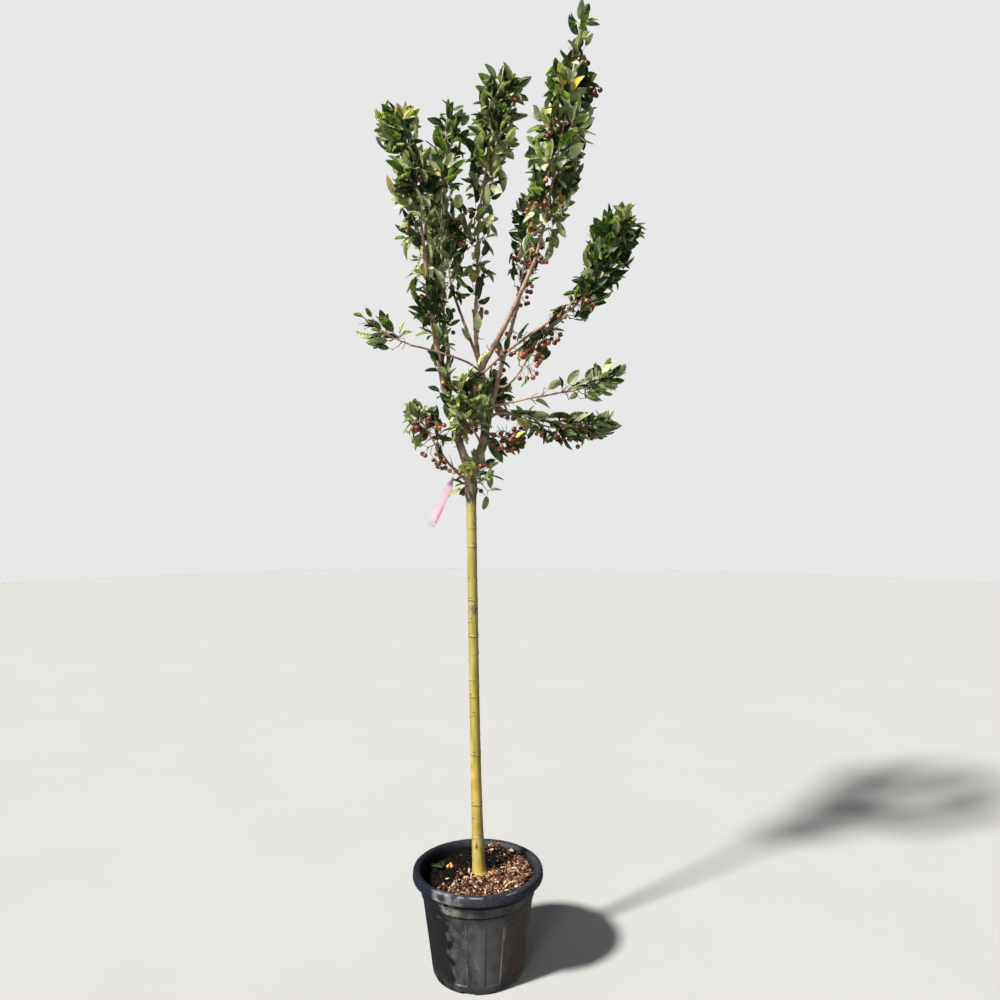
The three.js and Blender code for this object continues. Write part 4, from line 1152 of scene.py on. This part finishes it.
# sprays far from the middle line of a mass take lighter shades and those near it darker: painted light
# outside, painted shade inside
INNER_DARK, OUTER_LIGHT = 1.5, 0.7
MASS_EDGE = (0.72, 1.1)
LIMB_CLEAR = 0.004
DEEP_SHADED, GREEN, FRESH_LIT, OLIVE, YELLOW, UNDERSIDE_SHADED, UNDERSIDE_PALE = range(7)
LIGHT_SHARES = [(YELLOW, 0.015, 0.05), (OLIVE, 0.04, 0.10), (FRESH_LIT, 0.08, 0.48)]  # least, more by lightness
GREEN_LIMIT = (0.30, 0.64)
LIKE_SPRAY, ELSE_DEEP_SHADED = 0.7, 0.6
FRONT = np.array([0.0, -1.0, 0.0])
HANGING_LEAVES = [("right_inner", 0.06, (0.42, -0.35, -0.84), 0.094)]  # bough, share of it, heading, length


def leaf_outline(share):
    """Half the width of a leaf, of 1 at its widest."""
    wide = share ** LEAF_BASE * (1 - share) ** LEAF_TIP
    widest = LEAF_BASE / (LEAF_BASE + LEAF_TIP)
    return wide / (widest ** LEAF_BASE * (1 - widest) ** LEAF_TIP)


def leaf_top(name, gloss, deep, bright):
    finish = Finish(name, Specular_IOR_Level=gloss, **LEAF_GLOW)
    cloud = finish.place.grain(38)
    fine = finish.place.grain(300)
    rib, run = finish.attribute("rib"), finish.attribute("run")
    veins = (run * 10 - (1 - rib) * 1.5).fraction().step(0.0, 0.3)
    shade = cloud.step(0.3, 0.7).blend(deep, bright)
    rib_shade = tuple(between(value, 0.3, 0.22) for value in bright)
    shade = (rib.step(0.80, 0.98) * 0.55).blend(shade, rib_shade)
    finish.feed(Base_Color=shade, Roughness=0.25 + fine * 0.25)
    finish.relief(fine * 0.4 + veins * 0.5 - rib.step(0.7, 1.0), 0.0005, strength=0.7)
    return finish.material


def leaf_underside(name, deep, bright):
    finish = Finish(name, Specular_IOR_Level=0.15, **LEAF_GLOW)
    cloud = finish.place.grain(45)
    fine = finish.place.grain(380)
    shade = cloud.step(0.3, 0.7).blend(deep, bright)
    rib_shade = tuple(between(value, 0.22, 0.4) for value in bright)
    shade = (finish.attribute("rib").step(0.8, 0.98) * 0.5).blend(shade, rib_shade)
    finish.feed(Base_Color=shade, Roughness=0.5 + fine * 0.25)
    return finish.material


# the deepest shade, above and below, is near black: painted shade for leaves inside the crown
leaf_shades = [
    leaf_top("leaf_deep_shaded", 0.16, (0.003, 0.007, 0.003), (0.014, 0.026, 0.010)),
    leaf_top("leaf_green", 0.42, (0.036, 0.062, 0.020), (0.125, 0.165, 0.064)),
    # the pale fresh shade is partly young leaves and partly painted light, for leaves at the outside of the
    # crown
    leaf_top("leaf_fresh_lit", 0.46, (0.28, 0.35, 0.12), (0.57, 0.64, 0.33)),
    leaf_top("leaf_olive", 0.40, (0.20, 0.17, 0.035), (0.34, 0.29, 0.08)),
    leaf_top("leaf_yellow", 0.28, (0.42, 0.36, 0.03), (0.60, 0.52, 0.08)),
    leaf_underside("underside_shaded", (0.008, 0.014, 0.006), (0.035, 0.050, 0.020)),
    leaf_underside("underside_pale", (0.085, 0.120, 0.040), (0.21, 0.26, 0.110)),
]

limb_points, limb_radii = [], []
for name, (limb, foot, radius_at) in limbs.items():
    shares = np.linspace(0, 1, 60)
    limb_points.append(line_of(limb, foot, shares))
    limb_radii.append(np.array([float(radius_at(share)) for share in shares]))
for mass in masses[:len(MASSES)]:
    limb_points.append(mass.samples)
    limb_radii.append(np.linspace(*mass.thick, MASS_SAMPLES) / 2)
limb_points, limb_radii = np.concatenate(limb_points), np.concatenate(limb_radii)


def clear_of_limbs(point):
    return bool((np.linalg.norm(limb_points - point, axis=1) > limb_radii + LIMB_CLEAR).all())


def spray_shade(luck, lightness):
    """The shade that most leaves of a spray have."""
    limit = 0
    for shade, least, more in LIGHT_SHARES:
        limit += least + more * lightness
        if luck < limit:
            return shade
    return GREEN if luck < GREEN_LIMIT[0] + GREEN_LIMIT[1] * lightness else DEEP_SHADED


leaves = []  # mass, root, heading, facing, length, width, shade
stalks = []
for mass in masses:
    random = seeded(mass.seed + 100)
    for start, heading, length, share, is_spur in mass.sprays:
        nearest = mass.samples[np.argmin(np.linalg.norm(mass.samples - start, axis=1))]
        outer = np.linalg.norm(start + heading * length - nearest) / LEAFY_REACH
        # the further out a spray stands, the lighter its shade: painted light and shade
        luck = next(random) * (INNER_DARK - OUTER_LIGHT * min(outer, 1.0))
        main_shade = spray_shade(luck, mass.lightness)
        outward = unit(start + heading * 0.001 - nearest)
        full = mass.profile(mass.leafy, share)
        slack = between(*MASS_EDGE, next(random))
        for k, (part, lean) in enumerate(LEAVES_ON_SPRAY[:None if is_spur else LEAVES_ON_TWIG]):
            base = start + heading * length * part
            if next(random) > full:
                continue
            for shrink in LEAF_TRIES:
                along = leaning(heading, lean, k * GOLDEN_ANGLE + 60 * next(random))
                along = unit(along - UP * LEAF_DROOP * next(random) * (lean > DROOP_FROM))
                stalk = between(*STALK_LENGTH, next(random)) * shrink
                blade = between(*LEAF_LENGTH, next(random)) * shrink
                root = base + along * stalk
                tested = (root + along * blade / 2, root + along * blade * 0.9)
                if mass.holds(root + along * blade, slack) and all(clear_of_limbs(at) for at in tested):
                    break
            else:
                continue
            wild = np.array([next(random) - 0.5, next(random) - 0.5, next(random) - 0.5])
            facing = UP * LEAF_UP + outward * LEAF_OUT + wild * LEAF_WILD
            facing = unit(facing - along * np.dot(facing, along))
            shade = main_shade if next(random) < LIKE_SPRAY else DEEP_SHADED if next(random) < ELSE_DEEP_SHADED else GREEN
            width = blade * between(*LEAF_WIDTH, next(random))
            leaves.append((mass.name, root, along, facing, blade, width, shade))
            stalks.append((base, root + along * STALK_INTO_LEAF))
for limb_name, share, heading, blade in HANGING_LEAVES:
    limb, foot, _ = limbs[limb_name]
    base, along = line_of(limb, foot, share)[0], unit(np.array(heading))
    root = base + along * STALK_LENGTH[1]
    facing = unit(FRONT + along * along[1])
    leaves.append((limb_name, root, along, facing, blade, blade * LEAF_WIDTH[0], DEEP_SHADED))
    stalks.append((base, root + along * STALK_INTO_LEAF))


def leaf_points(root, along, facing, length, width, draw):
    """The points of many leaves: root, tip, then at each station left edge, right edge, top and under rib."""
    count = len(root)
    length, width = length[:, None], width[:, None]
    limits = (LEAF_FOLD, LEAF_CURL, LEAF_WAVE, (0, 6.3), LEAF_TWIST)
    fold, curl, wave, phase, twist = (draw.uniform(*pair, (count, 1)) for pair in limits)
    stations = LEAF_STATIONS[None]
    half = leaf_outline(stations) * width / 2
    ripple = wave * length * np.sin(9 * stations + phase)
    none = np.zeros((count, 1))
    columns = [(none, none, none), (length, none, none)]
    for side, below in ((-1, 0), (1, 0), (0, 0), (0, 1)):
        across = side * half
        up = abs(side) * half * fold + side * ripple * (half / width) - below * LEAF_THICKNESS
        turned = twist * stations
        columns.append((stations * length, across * np.cos(turned) - up * np.sin(turned),
                        across * np.sin(turned) + up * np.cos(turned)))
    local = np.concatenate([np.stack(column, 2) for column in columns], 1)
    local[:, :, 2] -= curl * length * (local[:, :, 0] / length) ** 2
    return root[:, None] + local @ np.stack([along, np.cross(facing, along), facing], 1)


def leaf_faces():
    """Top and under faces of one leaf, as quads and as the triangles at its two ends."""
    n = len(LEAF_STATIONS)
    left, right, top, under = (2 + n * k for k in range(4))
    quads, triangles = [], []
    for rib, one, other in ((top, left, right), (under, right, left)):
        for i in range(n - 1):
            quads.append((rib + i, rib + i + 1, one + i + 1, one + i))
            quads.append((other + i, other + i + 1, rib + i + 1, rib + i))
        triangles += [(0, rib, one), (0, other, rib)]
        triangles += [(1, one + n - 1, rib + n - 1), (1, rib + n - 1, other + n - 1)]
    return np.array(quads), np.array(triangles)


SIDES_OF_CROWN = {
    "leaves_left": ("left_front", "left_inner", "left_back", "left_reach", "left_low"),
    "leaves_centre": ("centre", "front", "union", "low_cluster", "back_low"),
    "leaves_right": ("right_leader", "right_inner", "right_front", "right_high", "right_low", "right_knot"),
}
quads, triangles = leaf_faces()
corners = 2 + 4 * len(LEAF_STATIONS)


def leaf_piece(name, group, seed):
    """One mesh of many leaves. Its points keep how near they are to the rib, and how far along the leaf."""
    _, *places, shade = (np.array(values) for values in zip(*group))
    points = leaf_points(*places, np.random.default_rng(seed))
    shade = shade[:, None]
    # the undersides of the deepest leaves are near black too, as painted shade
    below = np.where(shade == DEEP_SHADED, UNDERSIDE_SHADED, UNDERSIDE_PALE)
    shades = [np.where(np.arange(len(faces))[None] < len(faces) // 2, shade, below).ravel()
              for faces in (quads, triangles)]
    faces = [repeated(faces, len(group), corners) for faces in (quads, triangles)]
    piece = new_piece(name, points.reshape(-1, 3), faces, leaf_shades, shades)
    stations = len(LEAF_STATIONS)
    note(piece, "rib", np.tile([1, 1] + [0] * 2 * stations + [1] * 2 * stations, len(group)))
    note(piece, "run", np.tile(np.concatenate([[0, 1], np.tile(LEAF_STATIONS, 4)]), len(group)))
    bpy.ops.object.shade_smooth_by_angle(angle=math.radians(75))
    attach(piece, "root")
    return piece


for seed, (piece_name, names) in enumerate(SIDES_OF_CROWN.items()):
    group = [leaf for leaf in leaves
             if leaf[0].replace("bough_", "").replace("centre_leader", "centre") in names]
    piece = leaf_piece(piece_name, group, 40 + seed)
    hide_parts(*("foliage_" + name for name in names))


def stalk_skin():
    finish = Finish("stalk_skin", Specular_IOR_Level=0.4)
    cloud = finish.place.grain(50)
    fine = finish.place.grain(500, detail=1)
    finish.feed(Base_Color=cloud.step(0.35, 0.65).blend((0.16, 0.17, 0.05), (0.27, 0.14, 0.06)),
                Roughness=0.4 + fine * 0.2)
    return finish.material


points, faces = rods(*zip(*stalks), STALK_RADII, STALK_SIDES, STALK_SAG)
leaf_stalks = new_piece("leaf_stalks", points, faces, [stalk_skin()])
bpy.ops.object.shade_smooth()
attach(leaf_stalks, "root")
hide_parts(*("foliage_" + name for name in MASSES))


# Fruit
# Small hard apples, 13 to 17 mm across, hang in clusters of up to six on long thin stalks. They are red brown
# to orange, each with the dark dry end of its flower.

FRUIT_RADIUS = (0.0064, 0.0084)
FRUIT_STALK, FRUIT_STALK_RADII, FRUIT_STALK_SAG = (0.016, 0.028), (0.00084, 0.0006), 0.05
FRUIT_IN_CLUSTER = (3, 6)
FRUIT_SPREAD, FRUIT_DOWN, FRUIT_ALONG = 0.62, 0.65, 0.5
FRUIT_APART = 1.7 * FRUIT_RADIUS[1]
FRUIT_SIDES, FRUIT_RINGS = 9, 7
FRUIT_SQUAT = 0.93
DIMPLE, DRY_CUP = (0.28, -0.82), (0.34, 0.22, 1.04, 0.94)  # in parts of its radius
FRUIT_LUCK = {True: 0.9, False: 0.2}  # on a spur, on a side twig


def fruit_skin(name, dark, bright):
    finish = Finish(name, Specular_IOR_Level=0.55)
    blush = finish.place.grain(90)
    fine = finish.place.grain(900, detail=1)
    finish.feed(Base_Color=blush.step(0.3, 0.7).blend(dark, bright), Roughness=0.22 + fine * 0.2)
    return finish.material


fruit_shades = [
    fruit_skin("fruit_red", (0.11, 0.020, 0.014), (0.33, 0.080, 0.050)),
    fruit_skin("fruit_orange", (0.24, 0.065, 0.030), (0.42, 0.155, 0.075)),
    fruit_skin("fruit_brown", (0.050, 0.013, 0.011), (0.16, 0.048, 0.032)),
    fruit_skin("fruit_amber", (0.30, 0.13, 0.025), (0.48, 0.26, 0.07)),
    fruit_skin("fruit_dry_end", (0.02, 0.012, 0.008), (0.06, 0.035, 0.02)),
]
RED, ORANGE_RED, BROWN, AMBER, DRY_END = range(5)

apples = []  # middle, way that it hangs, size, shade
fruit_hangers = []
for mass in masses:
    random = seeded(mass.seed + 200)
    for start, heading, length, share, is_spur in mass.sprays:
        if next(random) > mass.profile(mass.fruity, share) * FRUIT_LUCK[is_spur]:
            continue
        knot_at = start + heading * length * between(0.5, 0.95, next(random))
        cluster_shade = RED if next(random) < 0.5 else ORANGE_RED if next(random) < 0.55 else BROWN
        for k in range(round(between(*FRUIT_IN_CLUSTER, next(random)))):
            aside = around(heading, k * GOLDEN_ANGLE + 50 * next(random)) * FRUIT_SPREAD
            way = unit(heading * FRUIT_ALONG - UP * FRUIT_DOWN + aside * (0.4 + 0.6 * next(random)))
            run = between(*FRUIT_STALK, next(random))
            size = between(*FRUIT_RADIUS, next(random))
            middle = knot_at + way * (run + size)
            apart = all(np.linalg.norm(middle - other) > FRUIT_APART for other, *_ in apples[-12:])
            if not (apart and mass.holds(middle) and clear_of_limbs(middle)):
                continue
            shade = cluster_shade if next(random) < 0.7 else (RED, ORANGE_RED, BROWN)[int(3 * next(random))]
            apples.append((middle, way, size, shade))
            fruit_hangers.append((knot_at, middle - way * size * 0.8))


def fruit_body(at, down, size, shade):
    """Apples from arrays: squat balls with a dimple at the stalk and a small dry cup at the other end."""
    at, down, size = np.array(at), unit(np.array(down)), np.array(size)[:, None, None]
    lean = np.linspace(DIMPLE[0], math.pi - DRY_CUP[0], FRUIT_RINGS)
    ring_radius = np.append(np.sin(lean), DRY_CUP[1])
    ring_level = np.append(-np.cos(lean) * FRUIT_SQUAT, DRY_CUP[2])
    spoke = spokes(*square_to(down), FRUIT_SIDES)
    rings = [at[:, None] + size * (spoke * radius + down[:, None] * level)
             for radius, level in zip(ring_radius, ring_level)]
    poles = [at[:, None] + size * down[:, None] * level for level in (DIMPLE[1], DRY_CUP[3])]
    walls, fans = tube_faces(len(ring_radius), FRUIT_SIDES)
    corners = len(ring_radius) * FRUIT_SIDES + 2
    dry_walls = np.arange(len(walls)) >= len(walls) - FRUIT_SIDES
    dry_fans = np.arange(len(fans)) >= FRUIT_SIDES
    shades = [np.where(dry[None], DRY_END, np.array(shade)[:, None]).ravel() for dry in (dry_walls, dry_fans)]
    points = np.concatenate(rings + poles, 1).reshape(-1, 3)
    return points, [repeated(faces, len(at), corners) for faces in (walls, fans)], shades


points, faces, shades = fruit_body(*zip(*apples))
fruit = new_piece("fruit", points, faces, fruit_shades, shades)
bpy.ops.object.shade_smooth()
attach(fruit, "root")
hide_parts(*("foliage_" + name for name in MASSES))

points, faces = rods(*zip(*fruit_hangers), FRUIT_STALK_RADII, STALK_SIDES, FRUIT_STALK_SAG)
fruit_stalks = new_piece("fruit_stalks", points, faces, [stalk_skin()])
bpy.ops.object.shade_smooth()
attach(fruit_stalks, "root")
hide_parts(*("foliage_" + name for name in MASSES))


# Label
# A soft plastic strip, blank, pinkish white and half clear, with a stronger pink band down one side. Its loop
# hangs round the low bough on the left.

LABEL_ON, LABEL_AT = "left_low", 0.42
LABEL_WIDTH, LABEL_LENGTH, LABEL_THICKNESS = 0.027, 0.165, 0.0006
LABEL_LEAN = math.radians(25)
LOOP_INNER, LOOP_WIDTH = 0.011, 0.006
LABEL_STEPS, LABEL_SOFT_EDGE = 14, 0.00015
LABEL_NECK, LABEL_WIDENING = 0.3, {1: 2.2, 2: 1.45, LABEL_STEPS - 1: 0.86}  # at its loop, and step by step
LABEL_BEND, LABEL_TWIST = 0.006, 0.35
LOOP_GAP, LOOP_SIDES = 0.0003, 40

label_limb, label_foot, label_radius = limbs[LABEL_ON]
loop_middle, loop_ahead = line_of(label_limb, label_foot, [LABEL_AT, LABEL_AT + 0.01])
loop_along = unit(loop_ahead - loop_middle)
loop_down = unit(-UP + loop_along * loop_along[2])
loop_centre = loop_middle + loop_down * (LOOP_INNER - float(label_radius(LABEL_AT)) - LOOP_GAP)
label_top = Vector(loop_centre + loop_down * (LOOP_INNER + LABEL_THICKNESS))


def label_film():
    finish = Finish("label_film", Roughness=0.32, Transmission_Weight=0.25)
    place = finish.place
    down = place.node("VectorMath", {0: place, 1: tuple(label_top)}, operation="SUBTRACT")
    x, z = down.axis("X"), down.axis("Z")
    across = x * math.cos(LABEL_LEAN) - z * math.sin(LABEL_LEAN)
    along = 0 - (z * math.cos(LABEL_LEAN) + x * math.sin(LABEL_LEAN))
    cloud = place.grain(60)
    film = cloud.blend((0.43, 0.30, 0.38), (0.49, 0.37, 0.44))
    band = across.step(0.0035, 0.0065) * along.band(0.03, 0.05, 0.149, 0.152)
    finish.feed(Base_Color=film.under(
        (band * (0.25 + along.step(0.085, 0.105) * 0.65), (0.43, 0.10, 0.22)),
        (along.step(0.125, 0.150) * (1 - band), (0.40, 0.385, 0.395)),
    ))
    finish.relief(cloud, 0.0008)
    return finish.material


label = started("label", bpy.ops.mesh.primitive_cube_add, size=1)
step = LABEL_LENGTH / LABEL_STEPS
bpy.ops.transform.resize(value=(LABEL_WIDTH * LABEL_NECK, LABEL_THICKNESS, step))
bpy.ops.transform.translate(value=(0, 0, -step / 2))
for i in range(1, LABEL_STEPS):
    lowest = -step * i
    select_faces(label, lambda middle, z=lowest: middle.z < z + step / 4)
    bpy.ops.mesh.extrude_region_move(TRANSFORM_OT_translate={"value": (0, 0, -step)})
    wider = LABEL_WIDENING.get(i, 1.0)
    bpy.ops.transform.resize(value=(wider, 1, 1), center_override=(0, 0, lowest - step))
bpy.ops.object.mode_set(mode="OBJECT")
lean = Matrix.Rotation(LABEL_LEAN, 3, "Y")
for corner in label.data.vertices:
    down = -corner.co.z / LABEL_LENGTH
    corner.co.y += LABEL_BEND * math.sin(2.6 * down) - LABEL_TWIST * corner.co.x * math.sin(3 * down)
    corner.co = label_top + lean @ corner.co

loop = started("label_loop", bpy.ops.mesh.primitive_circle_add, vertices=LOOP_SIDES, radius=LOOP_INNER)
bpy.ops.mesh.extrude_region_move(TRANSFORM_OT_translate={"value": (0, 0, LOOP_WIDTH)})
bpy.ops.object.mode_set(mode="OBJECT")
apply_modifier(loop, "SOLIDIFY", thickness=LABEL_THICKNESS, offset=1)
loop_axes = np.stack([loop_down, np.cross(loop_along, loop_down), loop_along], 1)
for corner in loop.data.vertices:
    corner.co = loop_centre + loop_axes @ (np.array(corner.co) - UP * LOOP_WIDTH / 2)
label.select_set(True)
bpy.context.view_layer.objects.active = label
bpy.ops.object.join()
apply_modifier(label, "BEVEL", width=LABEL_SOFT_EDGE, segments=1)
bpy.ops.object.shade_smooth_by_angle(angle=math.radians(40))
label.data.materials.append(label_film())
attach(label, "root")
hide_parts("tag")


# Fallen sprig
# Three leaves and three apples have dropped on the bark at the left.

SPRIG_AT = (-0.109, 0.045)
SPRIG_LEAVES = [  # place, heading, length, shade
    # the deepest shade is near black: painted shade on the bark's dark left
    ((0, 0.002), 105, 0.034, DEEP_SHADED),
    ((-0.002, -0.004), 192, 0.038, GREEN),
    ((-0.006, 0.001), 165, 0.036, DEEP_SHADED),
]
LEAF_REST, FRUIT_REST, LEAF_RISE = 0.012, 0.011, 0.25  # above the bed, and how the leaves slope up
SPRIG_FRUIT = [(0.014, 0.0), (0.027, -0.008), (0.022, 0.010)]
SPRIG_FRUIT_ENDS, SPRIG_FRUIT_RADIUS = [(1, 0.3, -0.3), (0.2, -1, 0.1), (0.3, 0.6, 0.5)], 0.0066

sprig = []
for (dx, dy), degrees, blade, shade in SPRIG_LEAVES:
    x, y = SPRIG_AT[0] + dx, SPRIG_AT[1] + dy
    along = unit(np.array([math.cos(math.radians(degrees)), math.sin(math.radians(degrees)), LEAF_RISE]))
    root = np.array([x, y, float(bark_level(x, y)) + LEAF_REST])
    sprig.append(("", root, along, unit(UP - along * along[2]), blade, blade * LEAF_WIDTH[0], shade))
leaf_piece("fallen_leaves", sprig, 3)
at = np.array([(SPRIG_AT[0] + dx, SPRIG_AT[1] + dy, 0) for dx, dy in SPRIG_FRUIT])
at[:, 2] = bark_level(at[:, 0], at[:, 1]) + FRUIT_REST
points, faces, shades = fruit_body(at, SPRIG_FRUIT_ENDS, [SPRIG_FRUIT_RADIUS] * len(at), [AMBER] * len(at))
fallen_fruit = new_piece("fallen_fruit", points, faces, fruit_shades, shades)
bpy.ops.object.shade_smooth()
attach(fallen_fruit, "root")
